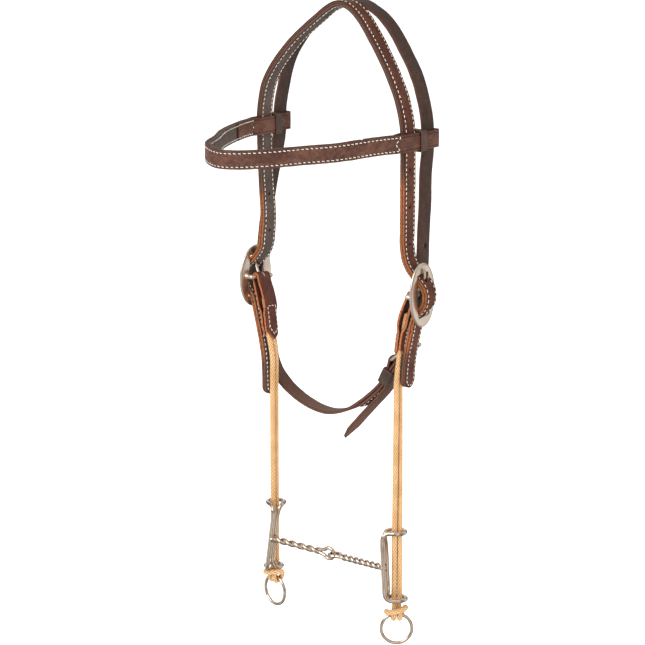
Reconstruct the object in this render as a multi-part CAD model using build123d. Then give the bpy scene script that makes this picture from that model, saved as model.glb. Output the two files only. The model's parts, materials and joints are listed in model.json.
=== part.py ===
from build123d import *
import math
import os

import numpy as np

# Browband headstall with a jointed wire gag bit that slides on doubled cords.
# Millimetres. +Z up, +X the horse's left, -Y the horse's front.
# Origin: underside of the crown strap at the poll, on the mid-plane.
# Tables marked "layout" are measured from the cord plane in y and a datum 281.75 below
# the origin in z; place() moves them to the part frame. Paired pieces take side +1 or -1.

LEFT, RIGHT = 1, -1
SIDES = {LEFT: "left", RIGHT: "right"}
LAYOUT_Y, LAYOUT_Z = 10.2, 281.75

# ---- straps ----
STRAP_W = 15.9             # 5/8 in strap
PLY_T = 2.7                # one ply of the doubled straps
PLY_GAP = 0.04
PLY_PITCH = PLY_T + PLY_GAP
THROAT_T = 2.8             # single-ply throatlatch
KEEPER_WALL = 1.6
# Strap tips: (distance from the end, width)
ROUND_TIP = [(0, 4.0), (0.8, 8.5), (2.2, 12.0), (4.4, 14.6), (8.0, STRAP_W)]
POINT_TIP = [(0, 1.2), (15.0, STRAP_W)]
V_TIP = [(0, 1.6), (8.0, STRAP_W)]

# ---- cheek buckles ----
BUCKLE_W, BUCKLE_H, BUCKLE_T = 40.0, 58.0, 2.5
BUCKLE_EDGE_R = 0.9
SLOT_W, SLOT_H, SLOT_R = 18.0, 39.0, 2.0
BUCKLE_TOE = 4.5                         # degrees the plates turn backward
LEAN = {LEFT: 4.5, RIGHT: -4.0}          # degrees the cheek's lower end swings backward
PLATE_X, PLATE_Y = 96.5, 2.2             # plate centre, layout
PLATE_Z = {LEFT: 35.4, RIGHT: 27.4}
BAR_R, BAR_L = 2.0, 25.0                 # centre bar
BAR_BACK = 7.5                           # bar behind the plate's mid-thickness
POST_X = 12.1                            # posts from plate to bar, either side of centre
POST_SINK = 0.6                          # post length buried in plate and bar
TONGUE_R = 1.4
TONGUE_EYE_WIRE = 1.3
TONGUE_EYE_R = BAR_R + TONGUE_EYE_WIRE + 0.12
TONGUE_CUT_R = 2.0

# ---- cords and rein rings ----
CORD_R = 2.45
CORD_X = 72.4              # cord centre from the mid-plane
STRAND_OFFSET = CORD_R + 0.02
CORD_KNEE_Z = -328.0       # height at which the strands become vertical
HITCH_R, HITCH_CORD_R, HITCH_OFFSET = 4.75, 2.4, 2.1
RING_R, RING_WIRE = 14.0, 1.5

# ---- bit ----
CHEEK_R = 1.95             # cheek wire
LOOP_R = 7.9               # mean radius of the cheek's cord loops
MOUTH_R = 3.5              # envelope of the doubled, twisted mouth wire
EYE_R, EYE_WIRE = 5.2, 1.6

os.makedirs("parts", exist_ok=True)


# ---- geometry helpers ----
def place(x, y, z, side=LEFT):
    """Layout axes to the part frame; side RIGHT mirrors the point in x."""
    return np.array([side * x, y - LAYOUT_Y, z - LAYOUT_Z], float)


def unit(vector):
    vector = np.asarray(vector, float)
    return vector / np.linalg.norm(vector)


def plane_at(origin, normal, across=None):
    if across is None:
        return Plane(origin=Vector(*origin), z_dir=Vector(*normal))
    return Plane(origin=Vector(*origin), x_dir=Vector(*across), z_dir=Vector(*normal))


def ball(centre, radius):
    return Location(tuple(centre)) * Sphere(radius)


def rod(start, end, radius):
    length = float(np.linalg.norm(end - start))
    return plane_at(start, unit(end - start)) * Pos(0, 0, length / 2) * Cylinder(radius, length)


def blend(first, second, t_first, t_second, t):
    span = t_second - t_first
    return (t_second - t) / span * first + (t - t_first) / span * second


def smooth(points, step):
    """Centripetal Catmull-Rom through the points, sampled about every step mm."""
    points = [np.asarray(p, float) for p in points]
    points = [2 * points[0] - points[1]] + points + [2 * points[-1] - points[-2]]
    out = []
    for i in range(1, len(points) - 2):
        quad = points[i - 1:i + 3]
        knots = [0.0]
        for j in range(3):
            knots.append(knots[-1] + max(np.linalg.norm(quad[j + 1] - quad[j]), 1e-6) ** 0.5)
        count = max(1, int(round(np.linalg.norm(quad[2] - quad[1]) / step)))
        for k in range(count):
            t = knots[1] + (knots[2] - knots[1]) * k / count
            low = [blend(quad[j], quad[j + 1], knots[j], knots[j + 1], t) for j in range(3)]
            mid = [blend(low[j], low[j + 1], knots[j], knots[j + 2], t) for j in range(2)]
            out.append(blend(mid[0], mid[1], knots[1], knots[2], t))
    out.append(points[-2])
    return np.array(out)


def arc_length(path):
    steps = np.linalg.norm(np.diff(np.asarray(path, float), axis=0), axis=1)
    return np.concatenate([[0], np.cumsum(steps)])


def add_stations(path, from_end):
    """Insert stations at given distances before the end, so that a tip tapers cleanly."""
    s = arc_length(path)
    wanted = sorted(set(list(s) + [s[-1] - distance for distance in from_end]))
    return np.array([[np.interp(v, s, path[:, k]) for k in range(3)] for v in wanted])


def add_end_stations(path, tip):
    """Insert a tip profile's stations at both ends."""
    distances = [distance for distance, _ in tip]
    path = add_stations(path, distances)
    return add_stations(path[::-1], distances)[::-1]


def taper(path, start=None, end=None):
    """Strap width at each station, narrowed by the tip profiles."""
    s = arc_length(path)
    widths = np.full(len(path), float(STRAP_W))
    for tip, distance in ((start, s), (end, s[-1] - s)):
        if tip:
            xs, ys = zip(*tip)
            widths = np.minimum(widths, np.interp(distance, xs, ys, right=STRAP_W))
    return widths


def frames(path, across):
    """Width direction and normal at each station; the normal is width x tangent."""
    path = np.asarray(path, float)
    tangents = np.array([unit(t) for t in np.gradient(path, axis=0)])
    across = np.broadcast_to(np.asarray(across, float), path.shape)
    across = np.array([unit(w - np.dot(w, t) * t) for w, t in zip(across, tangents)])
    return across, np.cross(across, tangents)


def strap(path, across, width, thickness, offset=0.0):
    """A ruled strap of rectangular section. width may be one value per station."""
    across, normals = frames(path, across)
    widths = np.broadcast_to(np.asarray(width, float), (len(path),))
    wires = []
    for point, w, n, b in zip(path, across, normals, widths):
        corners = [point + n * (offset + sn * thickness / 2) + w * (sw * b / 2)
                   for sn, sw in ((-1, -1), (-1, 1), (1, 1), (1, -1))]
        wires.append(Wire.make_polygon([Vector(*q) for q in corners], close=True))
    return Solid.make_loft(wires, ruled=True)


def loft_wire(stations, radius):
    """A round wire through (point, tangent) stations."""
    wires = [Wire.make_circle(radius, Plane(origin=p, z_dir=t)) for p, t in stations]
    return Solid.make_loft(wires, ruled=True)


def spline_stations(edge, start, end, count):
    return [(edge @ u, edge % u) for u in np.linspace(start, end, count)]


def closed_wire(points, radius):
    """A closed round wire, lofted in two halves."""
    edge = Edge.make_spline([Vector(*p) for p in points], periodic=True)
    first, second = [loft_wire(spline_stations(edge, u, u + 0.5, 30), radius) for u in (0.0, 0.5)]
    return first + second


def open_wire(points, radius):
    edge = Edge.make_spline([Vector(*p) for p in points])
    return sweep(Plane(origin=edge @ 0, z_dir=edge % 0) * Circle(radius), path=Wire([edge]))


def largest_solid(shape):
    return max(shape.solids(), key=lambda q: q.volume)


def cut_plain(body, tool):
    """Cut one solid by another, leaving its flush faces unmerged."""
    return largest_solid(body.cut(largest_solid(tool)))


def save(shape, name):
    # A boolean may return a list of shapes, which is gathered before export.
    if not isinstance(shape, (Compound, Solid, Part)):
        shape = Compound(children=list(shape))
    export_step(shape, f"parts/{name}.step")


# ---- cheek frame: centred on the buckle bar ----
def cheek_axes(side):
    """Bar centre, then the outward, backward and upward directions."""
    toe, lean = math.radians(BUCKLE_TOE), math.radians(LEAN[side])
    out = np.array([side * math.cos(toe), math.sin(toe), 0])
    back = np.array([-side * math.sin(toe), math.cos(toe), 0]) * math.cos(lean)
    back = back + np.array([0, 0, math.sin(lean)])
    up = np.array([side * math.sin(toe) * math.sin(lean),
                   -math.cos(toe) * math.sin(lean), math.cos(lean)])
    plate = place(PLATE_X, PLATE_Y, PLATE_Z[side], side)
    return plate - BAR_BACK * out, out, back, up


def cheek_point(side, outward, height, backward=0.0):
    bar, out, back, up = cheek_axes(side)
    return bar + outward * out + backward * back + height * up


# Tongue centreline: (outward, up)
TONGUE = [(2.9, 1.5), (5.0, 5.0), (6.9, 9.0), (8.7, 12.8), (10.1, 16.8), (10.5, 20.6),
          (10.25, 24.4)]


def cheek_buckle_tongue(side):
    body = open_wire([cheek_point(side, n, z) for n, z in TONGUE], TONGUE_R)
    body = body + ball(cheek_point(side, *TONGUE[-1]), TONGUE_R)
    bar, _, back, _ = cheek_axes(side)
    return body + plane_at(bar, back) * Torus(TONGUE_EYE_R, TONGUE_EYE_WIRE)


def tongue_clearance(side, degrees):
    """Fat tongue without its eye or last station, turned outward about the bar."""
    cos, sin = math.cos(math.radians(degrees)), math.sin(math.radians(degrees))
    points = [cheek_point(side, n * cos + z * sin, -n * sin + z * cos) for n, z in TONGUE[:-1]]
    body = open_wire(points, TONGUE_CUT_R)
    for end in (points[0], points[-1]):
        body = body + ball(end, TONGUE_CUT_R)
    return body


# ---- crown strap ----
# Poll, right to left: layout (x, z)
POLL = [(-6.0, 283.4), (0, 284.3), (6.0, 283.4)]
POLL_Y = 12.7
# From beside the poll down the cheek: layout (x, y, z)
CROWN_SIDE = [
    (12.5, 12.8, 280.3), (18.3, 12.4, 276.4), (25.8, 11.0, 270.0), (33.6, 8.5, 263.0),
    (44.4, 4.7, 252.5), (53.6, 2.1, 242.0), (61.8, 0.2, 231.5), (69.3, -1.4, 220.0),
    (75.3, -2.0, 208.0), (79.7, -1.5, 192.0), (81.5, -1.1, 179.0), (81.7, -0.7, 164.0),
    (81.5, -0.6, 146.3), (81.0, 0.3, 118.6), (79.9, 1.4, 89.4)]
# Cheek frame (up, outward): above the buckle, through its slot, end of the tail
ABOVE_BUCKLE = {LEFT: [(44.3, -8.7), (31.5, -6.2)],
                RIGHT: [(53.2, -9.8), (39.9, -7.6), (31.5, -6.2)]}
THROUGH_SLOT = [
    (24.0, -2.2), (20.5, 0.9), (16.9, 4.2), (14.7, 6.8), (12.8, 9.2), (10.1, 11.7),
    (5.6, 14.1), (0.0, 14.9), (-5.6, 14.1), (-10.1, 11.7), (-12.8, 9.2), (-14.7, 6.8),
    (-17.1, 4.4), (-20.8, 2.0), (-25.5, 0.4), (-31.0, -1.0), (-38.0, -2.9), (-46.0, -5.0),
    (-55.0, -7.2), (-65.0, -9.1), (-78.0, -10.8)]
TAIL_END = {LEFT: (-88.0, -11.3), RIGHT: (-109.9, -11.3)}
TAIL_SLOPE = {LEFT: 0.0, RIGHT: 0.092}   # the right tail hangs back upright
# Strap width turns from +Y to the cheek's backward direction below this height
TWIST_TOP_Z, TWIST_LENGTH = -170, 40.0
HOLE_R = 1.5
HOLE_Z = {LEFT: (145.4, 111.9, 78.2), RIGHT: (105.5, 72.0)}   # layout


def crown_half(side):
    points = [place(x, y, z, side) for x, y, z in CROWN_SIDE]
    # the strap comes to the buckle from straight above
    slope = 1.7 * math.tan(math.radians(LEAN[side]))
    for z, n in ABOVE_BUCKLE[side] + THROUGH_SLOT + [TAIL_END[side]]:
        backward = max(0.0, z - 21.0) * slope + max(0.0, -26.0 - z) * TAIL_SLOPE[side]
        points.append(cheek_point(side, n, z, backward))
    return points


def crown_across(point):
    side = LEFT if point[0] > 0 else RIGHT
    turn = np.clip((TWIST_TOP_Z - point[2]) / TWIST_LENGTH, 0, 1)
    return unit((1 - turn) * np.array([0, 1.0, 0]) + turn * cheek_axes(side)[2])


def crown_cutters(path):
    """Tongue clearances, then the punched holes in the cheeks."""
    cutters = [tongue_clearance(side, degrees) for side in SIDES for degrees in (0.0, 3.5, 7.0)]
    for side in SIDES:
        for z in HOLE_Z[side]:
            nearest = min(path, key=lambda p: abs(p[2] - (z - LAYOUT_Z))
                          + (0 if p[0] * side > 0 else 1e3))
            cutters.append(plane_at(nearest, (side, 0, 0)) * Cylinder(HOLE_R, 20))
    return cutters


def crown_plies():
    """Outer ply and lining. The path runs right to left, so its normal faces the head."""
    poll = [place(x, POLL_Y, z) for x, z in POLL]
    path = smooth(list(reversed(crown_half(RIGHT))) + poll + crown_half(LEFT), 6.0)
    path = add_end_stations(path, ROUND_TIP)
    widths = taper(path, ROUND_TIP, ROUND_TIP)
    across = np.array([crown_across(p) for p in path])
    cutters = crown_cutters(path)
    plies = []
    for offset in (-PLY_PITCH / 2, PLY_PITCH / 2):
        ply = strap(path, across, widths, PLY_T, offset)
        for cutter in cutters:
            ply = ply - cutter
        plies.append(ply)
    return plies


# ---- cheek buckle frame ----
def cheek_buckle_frame(side):
    """Slotted oval plate with a bar behind it; local X is width, Y up, Z outward."""
    bar_centre, out, back, _ = cheek_axes(side)
    plate = extrude(Ellipse(BUCKLE_W / 2, BUCKLE_H / 2), BUCKLE_T / 2, both=True)
    plate = fillet(plate.edges(), BUCKLE_EDGE_R)
    plate = plate - extrude(RectangleRounded(SLOT_W, SLOT_H, SLOT_R), BUCKLE_T, both=True)
    post_z = -(BAR_BACK + BUCKLE_T / 2) / 2 - POST_SINK / 2
    post = Cone(2.05, 2.85, BAR_BACK - BUCKLE_T / 2 + POST_SINK)
    for end in (1, -1):
        plate = plate + Pos(end * POST_X, 0, post_z) * post
        plate = plate + Pos(end * POST_X, 0, -BAR_BACK) * Sphere(2.25)
    bar = Pos(0, 0, -BAR_BACK) * Rot(0, 90, 0) * Cylinder(BAR_R, BAR_L)
    return plane_at(bar_centre + BAR_BACK * out, out, back * side) * (plate + bar)


# ---- cheek tabs, folded over the buckle bars ----
# Middle of the tab in the cheek frame: (up, outward)
TAB_MID = [(-59.4, -16.9), (-50.0, -15.3), (-40.0, -13.3), (-30.0, -10.8), (-20.0, -8.0),
           (-10.0, -4.2), (0.0, 0.0)]
TAB_END = {LEFT: -59.4, RIGHT: -55.9}
TAB_FOLD_R = 3.5
TAB_LEG_OFFSET = 4.35      # leg centre from the middle, where the cord lies between


def tab_mid(z):
    return float(np.interp(z, *zip(*TAB_MID)))


def cheek_tab(side):
    def leg(z, face):
        return tab_mid(z) + face * (TAB_LEG_OFFSET if z < -12 else TAB_FOLD_R), z

    bar, _, back, up = cheek_axes(side)
    heights = np.linspace(TAB_END[side], -9.0, 8)
    fold_angles = np.radians([-14, 12, 40, 65, 90, 115, 140, 168, 194])
    path = [leg(z, 1) for z in heights]
    path += [(TAB_FOLD_R * math.cos(a), TAB_FOLD_R * math.sin(a)) for a in fold_angles]
    path += [leg(z, -1) for z in heights[::-1]]
    path = np.array([cheek_point(side, n, z) for n, z in path])
    # only the full-width station is added, since the end station is already there
    path = add_end_stations(path, V_TIP[1:])
    tab = strap(path, back, taper(path, V_TIP, V_TIP), PLY_T)
    # slot in the fold for the tongue
    return tab - plane_at(bar, up, back) * Pos(0, 0, 2.0) * Box(4.6, 20, 15)


# ---- draw cords and rein rings ----
RING_TOP = {LEFT: place(CORD_X, 0, -265.6), RIGHT: place(-CORD_X, 0, -260.6)}
HITCH_AXIS = {LEFT: unit((0.777, 0.629, 0.0)), RIGHT: unit((0.985, -0.174, 0.0))}


def cord_strand(side, strand):
    """One strand from inside the tab down to the hitch; strand is 1 behind, -1 in front."""
    offset = strand * STRAND_OFFSET
    down = Vector(0, 0, -1)
    points = [cheek_point(side, tab_mid(z), z, offset) for z in (-24.0, -32.0, -40.0, -50.0)]
    knee = Vector(side * CORD_X, -LAYOUT_Y + offset, CORD_KNEE_Z)
    upper = Edge.make_spline([Vector(*p) for p in points] + [knee],
                             tangents=[Vector(*unit(points[1] - points[0])), down])
    stations = spline_stations(upper, 0, 1, 14)[:-1]
    # the left pair turns to line up with its hitch; the right pair stays fore and aft
    axis = HITCH_AXIS[side]
    end_angle = math.atan2(axis[1], axis[0]) if side == LEFT else math.pi / 2
    for f in np.linspace(0, 1, 9):
        angle = math.pi / 2 + (end_angle - math.pi / 2) * f
        z = CORD_KNEE_Z + (RING_TOP[side][2] + 3.6 - CORD_KNEE_Z) * f
        point = Vector(side * CORD_X + math.cos(angle) * offset,
                       -LAYOUT_Y + math.sin(angle) * offset, z)
        stations.append((point, down))
    return loft_wire(stations, CORD_R)


def draw_cord(side):
    """Two hitch turns on the rein ring, and the two strands."""
    axis = HITCH_AXIS[side]
    first, second = [plane_at(RING_TOP[side] + axis * end * HITCH_OFFSET, axis)
                     * Torus(HITCH_R, HITCH_CORD_R) for end in (1, -1)]
    cord = first + second
    for strand in (1, -1):
        cord = cord + cord_strand(side, strand)
    return cord


def rein_ring(side):
    centre = RING_TOP[side] - np.array([0, 0, RING_R])
    return plane_at(centre, np.cross(HITCH_AXIS[side], [0, 0, 1.0])) * Torus(RING_R, RING_WIRE)


# ---- bit cheeks ----
# Runs of the closed wire between its two cord loops: layout (x, y, z)
FRONT_ROD_TOP = [(66.8, -13.3, -220), (65.4, -12.5, -206), (64.5, -11.9, -197),
                 (65.0, -11.5, -191.3), (68.0, -9.3, -188.0)]
BACK_ROD = [(61.9, -3.2, -188.2), (62.6, -5.4, -191.3), (64.0, -6.0, -197),
            (65.4, -6.6, -206), (66.8, -7.3, -220), (68.0, -7.9, -232),
            (68.9, -8.2, -240.5), (67.4, -7.2, -247.0), (66.0, -4.6, -249.6)]
FRONT_ROD_FOOT = [(72.6, -11.6, -249.8), (69.8, -13.8, -246.5), (69.0, -14.3, -240.5),
                  (68.0, -13.9, -232)]


def cord_loop(x, y, z, start, end):
    """Layout points on a level loop about (x, y, z), between two angles in degrees."""
    angles = [math.radians(a) for a in np.linspace(start, end, 8)]
    return [(x + LOOP_R * math.cos(a), y + LOOP_R * math.sin(a), z) for a in angles]


def bit_cheek(side):
    wire = FRONT_ROD_TOP + cord_loop(71.3, 0.5, -187.4, 292, 532)
    wire += BACK_ROD + cord_loop(73.5, -0.7, -250.3, 175, -65)
    wire += FRONT_ROD_FOOT
    return closed_wire([place(*point, side) for point in wire], CHEEK_R)


# ---- mouth ----
def mouth_wire(side):
    """One half of the mouth: doubled twisted wire envelope with its eye."""
    eye = place(3.5, -4.0, -222.7, side)
    cheek = place(66.8, -10.3, -220.0, side)
    start = eye + unit(cheek - eye) * (EYE_R + 1.2)
    end = cheek - unit(cheek - eye) * (CHEEK_R + 0.15)
    axis = unit(end - start)
    body = rod(start, end, MOUTH_R)
    body = body + plane_at(end - axis * 7.0, axis) * Pos(0, 0, 3.4) * Cone(MOUTH_R - 0.2, 4.6, 6.8)
    body = body + ball(start, MOUTH_R - 0.4)
    # the left eye lies level and the right one stands upright
    eye_plane = plane_at(eye, (0, 0, 1) if side == LEFT else (0, 1, 0))
    body = body + eye_plane * Torus(EYE_R, EYE_WIRE)
    # keep the other half's eye and the cheek rods clear
    body = body - eye_plane * Cylinder(EYE_R - EYE_WIRE, 12)
    for y in (3.0, -3.0):
        top = place(64.3, -8.7 + y, -195, side)
        foot = place(69.1, -11.6 + y, -243, side)
        body = body - plane_at((top + foot) / 2, unit(foot - top)) * Cylinder(CHEEK_R + 0.45, 50)
    return largest_solid(body)


# ---- browband ----
# Outer ply from the front centre to the left side: layout (x, y)
BAND_PLAN = [
    (0, -153.2), (30.8, -137.4), (49.5, -105.0), (65.2, -78.7), (77.7, -40.5),
    (80.6, -30.0), (83.0, -21.0), (85.0, -14.5), (85.9, -9.0), (86.2, 0.0),
    (86.7, 8.0), (87.6, 14.5), (88.2, 20.0), (88.2, 33.2)]
BAND_SIDE_Z = 170.0
# Band height: layout (x, z)
BAND_HEIGHT = [(0, 165.3), (65, 168.3), (78, BAND_SIDE_Z), (90, BAND_SIDE_Z)]
# End loop: fold at the rear, then the return leg forward inside the cheek, layout (x, y)
FOLD_X, FOLD_Y, FOLD_R = 84.75, 33.2, 3.45
BAND_RETURN = [(81.3, 33.2), (81.25, 19.0), (80.4, 15.6), (78.6, 11.5), (77.3, 8.6),
               (77.2, 0.0), (77.2, -8.5)]
BAND_RETURN_FOOT = (78.1, -13.6)
FLAP_FRONT_Y, FLAP_BACK_Y = -49.0, -19.0     # sewn flap, layout
LINING_END_Y = -50.0                         # layout
BAND_KEEPER_GAP, BAND_KEEPER_L = 13.5, 8.0


def both_halves(path):
    """A path from the mid-plane, joined to its mirror image."""
    return np.vstack([(path[1:] * np.array([-1.0, 1.0, 1.0]))[::-1], path])


def band_main():
    heights = [float(np.interp(x, *zip(*BAND_HEIGHT))) for x, _ in BAND_PLAN]
    return smooth([place(x, y, z) for (x, y), z in zip(BAND_PLAN, heights)], 7.0)


def browband_outer_ply():
    main = band_main()
    fold = []
    for degrees in (30, 60, 90, 120, 150):
        angle = math.radians(degrees)
        fold.append(place(FOLD_X + FOLD_R * math.cos(angle), FOLD_Y + FOLD_R * math.sin(angle),
                          BAND_SIDE_Z))
    leg = smooth([place(x, y, BAND_SIDE_Z) for x, y in BAND_RETURN], 6.0)
    foot = place(*BAND_RETURN_FOOT, BAND_SIDE_Z)
    # the flap is sewn against the inner face, which the strap normal points to
    inner = main + frames(main, [0, 0, 1.0])[1] * PLY_PITCH
    sewn = (main[:, 1] > FLAP_FRONT_Y - LAYOUT_Y) & (main[:, 1] < FLAP_BACK_Y - LAYOUT_Y)
    path = np.vstack([main, fold, leg, [foot], inner[sewn][::-1]])
    return strap(both_halves(path), [0, 0, 1.0], STRAP_W, PLY_T)


def browband_lining_ply():
    main = band_main()
    path = both_halves(main[:sum(main[:, 1] < LINING_END_Y - LAYOUT_Y)])
    return strap(path, [0, 0, 1.0], STRAP_W, PLY_T, PLY_PITCH)


def browband_keeper(side):
    height = STRAP_W + 0.3
    keeper = Box(BAND_KEEPER_GAP + 2 * KEEPER_WALL, BAND_KEEPER_L, height + 2 * KEEPER_WALL)
    keeper = fillet(keeper.edges().filter_by(Axis.Y), 2.0)
    keeper = keeper - Box(BAND_KEEPER_GAP, 20, height)
    return Location(tuple(place(82.4, 11.7, BAND_SIDE_Z, side))) * keeper


# ---- throatlatch, buckled on the left ----
CHAPE_UP = unit([0.464, 0.0, 0.886])      # up along the buckle end
CHAPE_OUT = unit([0.886, 0.0, -0.464])    # away from the head
HEEL = place(55.42, 21.5, -32.07)         # heel bar centre
KEEPER = HEEL - 19.0 * CHAPE_UP           # keeper centre, between the two chape legs
HEEL_R = 1.6                              # buckle frame wire
THROAT_FRAME_L, THROAT_FRAME_W = 24.0, 23.2
FRAME_ANGLE = math.radians(38)
FRAME_DIR = np.array([math.cos(FRAME_ANGLE), 0, math.sin(FRAME_ANGLE)])     # heel to far bar
FRAME_NORMAL = np.array([math.sin(FRAME_ANGLE), 0, -math.cos(FRAME_ANGLE)])  # outward, down
THROAT_TONGUE_R = 1.2
TONGUE_ROOT = HEEL + FRAME_NORMAL * THROAT_TONGUE_R + FRAME_DIR * 2.4
TONGUE_TIP = (HEEL + THROAT_FRAME_L * FRAME_DIR
              + FRAME_NORMAL * (HEEL_R + THROAT_TONGUE_R + 0.08) + FRAME_DIR * 1.0)

# Layout (x, y, z). Beside the poll, going down; used on both sides
THROAT_UPPER = [
    (26.0, 29.5, 276.0), (36.0, 27.6, 270.0), (44.9, 25.6, 263.0), (54.6, 23.7, 252.5),
    (62.4, 22.8, 242.0), (69.3, 22.7, 231.5), (74.6, 23.2, 220.0), (79.5, 23.9, 204.0),
    (82.9, 24.0, 190.0), (84.2, 24.0, 180.0), (84.6, 24.0, 161.0)]
# Left cheek, going down to the buckle
THROAT_LEFT = [
    (84.0, 22.0, 140.4), (84.2, 21.2, 112.7), (83.3, 20.5, 85.2), (82.5, 20.5, 57.6),
    (80.8, 20.6, 32.0), (77.6, 21.0, 12.0), (73.8, 21.4, -2.3), (69.6, 21.5, -14.3),
    (65.2, 21.5, -25.3)]
# Free end of the billet, below the keeper
BILLET_END = [(42.2, 21.5, -65.1), (35.2, 21.5, -72.9), (26.6, 21.5, -81.8),
              (10.8, 21.5, -98.8), (-5.4, 21.5, -116.5)]
# Under the throat, left to right
THROAT_BOTTOM = [
    (28.6, 19.8, -69.0), (18.4, 17.8, -77.6), (8.1, 15.6, -84.9), (-1.8, 13.4, -89.0),
    (-13.0, 11.6, -91.2), (-27.9, 12.3, -90.7), (-43.2, 14.2, -87.8), (-58.9, 16.6, -82.8),
    (-73.5, 18.0, -74.7)]
# Right cheek, going up
THROAT_RIGHT = [
    (-87.2, 18.6, -59.8), (-93.2, 19.5, -39.2), (-97.0, 20.2, -14.5), (-99.6, 20.2, 8.0),
    (-101.8, 20.2, 27.0), (-100.4, 18.6, 52.0), (-95.6, 17.2, 80.0), (-91.0, 17.6, 108.0),
    (-87.2, 21.0, 136.0)]
THROAT_POLL = (0, 31.9, 284.8)


def chape_point(origin, up, out):
    return origin + up * CHAPE_UP + out * CHAPE_OUT


# Chape legs: origin, up, outward
OUTER_LEG = [chape_point(*row) for row in (
    (KEEPER, -8, 1.6), (KEEPER, 0, 1.6), (KEEPER, 5, 1.62), (KEEPER, 10, 1.7),
    (HEEL, -3, 3.15))]
INNER_LEG = [chape_point(*row) for row in (
    (HEEL, -3, -3.15), (KEEPER, 10, -1.7), (KEEPER, 5, -1.62), (KEEPER, 0, -1.6),
    (KEEPER, -9, -1.6))]
# Billet through the buckle and the keeper
BILLET = [chape_point(*row) for row in (
    (HEEL, 0.5, 6.3), (HEEL, -2.5, 6.2), (KEEPER, 13.2, 5.7), (KEEPER, 10.0, 5.1),
    (KEEPER, 6.0, 5.0), (KEEPER, 0.0, 5.0), (KEEPER, -8.0, 5.0))]


def places(rows):
    return [place(*row) for row in rows]


def throat_path():
    """Chape end, up and over the heel bar, round the head, down to the billet point."""
    # chape end laid on the outside of the strap below the keeper
    under = smooth(INNER_LEG[-2:] + places(THROAT_BOTTOM[:5]), 6.0)
    outside = under - frames(under, [0, 1.0, 0])[1] * (THROAT_T + 0.4)
    distance = arc_length(under)
    chape = outside[(distance > 13.0) & (distance < 43.0)][::-1]
    head = smooth(list(chape) + OUTER_LEG, 6.0)
    fold = [HEEL + 3.25 * (CHAPE_OUT * math.cos(math.radians(a))
                           + CHAPE_UP * math.sin(math.radians(a))) for a in (20, 50, 90, 130, 160)]
    right_upper = [place(*row, RIGHT) for row in reversed(THROAT_UPPER)]
    rest = [fold[-1]] + INNER_LEG + places(THROAT_BOTTOM + THROAT_RIGHT) + right_upper
    rest += places([THROAT_POLL] + THROAT_UPPER + THROAT_LEFT) + BILLET + places(BILLET_END)
    path = np.vstack([head, np.array(fold[:-1]), smooth(rest, 7.0)])
    return add_stations(path, [15.0, 8.0])


def turned_about_heel(point, degrees):
    along, off = np.dot(point - HEEL, FRAME_DIR), np.dot(point - HEEL, FRAME_NORMAL)
    cos, sin = math.cos(math.radians(degrees)), math.sin(math.radians(degrees))
    return HEEL + FRAME_DIR * (along * cos - off * sin) + FRAME_NORMAL * (along * sin + off * cos)


def throatlatch_strap():
    path = throat_path()
    body = strap(path, [0, 1.0, 0], taper(path, end=POINT_TIP), THROAT_T)
    # slot for the tongue in the fold
    body = cut_plain(body, plane_at(HEEL, (0, 1, 0), CHAPE_UP) * Cylinder(4.67, 4.2))
    # hole for the tongue in the billet
    for degrees in (0.0, 3.0, 6.0):
        root = turned_about_heel(TONGUE_ROOT + FRAME_DIR * 2.5, degrees)
        body = cut_plain(body, rod(root, turned_about_heel(TONGUE_TIP, degrees), 1.75))
    # hole in the left cheek
    return cut_plain(body, plane_at(place(83.0, 21.8, 75.0), (1, 0, 0)) * Cylinder(2.2, 24))


def throatlatch_buckle_tongue():
    eye_wire = 1.1
    body = rod(TONGUE_ROOT, TONGUE_TIP, THROAT_TONGUE_R) + ball(TONGUE_TIP, THROAT_TONGUE_R)
    return body + plane_at(HEEL, (0, 1, 0)) * Torus(HEEL_R + 0.1 + eye_wire, eye_wire)


def throatlatch_buckle_frame():
    """Wire rectangle with clipped corners; local X runs from the heel to the far bar."""
    x, y = THROAT_FRAME_L / 2, THROAT_FRAME_W / 2 - HEEL_R
    heel_clip, far_clip = 1.5, 3.5
    with BuildLine() as outline:
        Polyline((-x + heel_clip, -y), (-x, -y + heel_clip), (-x, y - heel_clip),
                 (-x + heel_clip, y), (x - far_clip, y), (x, y - far_clip),
                 (x, -y + far_clip), (x - far_clip, -y), close=True)
    path = outline.wire()
    section = Plane(origin=path @ 0, z_dir=path % 0) * Circle(HEEL_R)
    rim = sweep(section, path=path, transition=Transition.ROUND)
    return plane_at(HEEL + FRAME_DIR * THROAT_FRAME_L / 2, FRAME_NORMAL, FRAME_DIR) * rim


def throatlatch_keeper():
    """Sleeve round both chape legs and the billet."""
    width, depth = STRAP_W + 0.4, 3 * THROAT_T + 1.7
    outside = RectangleRounded(width + 2 * KEEPER_WALL, depth + 2 * KEEPER_WALL, 2.0)
    keeper = extrude(outside, 7.5, both=True) - extrude(Rectangle(width, depth), 12, both=True)
    return plane_at(KEEPER + CHAPE_OUT * 1.7, CHAPE_UP, (0, 1, 0)) * keeper


# ---- build; each function bears its piece's name ----
outer_ply, lining_ply = crown_plies()
save(outer_ply, "crown_outer_ply")
save(lining_ply, "crown_lining_ply")
for make in (cheek_buckle_frame, cheek_buckle_tongue, cheek_tab, draw_cord, rein_ring,
             bit_cheek, mouth_wire, browband_keeper):
    for side, word in SIDES.items():
        save(make(side), f"{make.__name__}_{word}")
for make in (browband_outer_ply, browband_lining_ply, throatlatch_strap,
             throatlatch_buckle_tongue, throatlatch_buckle_frame, throatlatch_keeper):
    save(make(), make.__name__)
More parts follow.
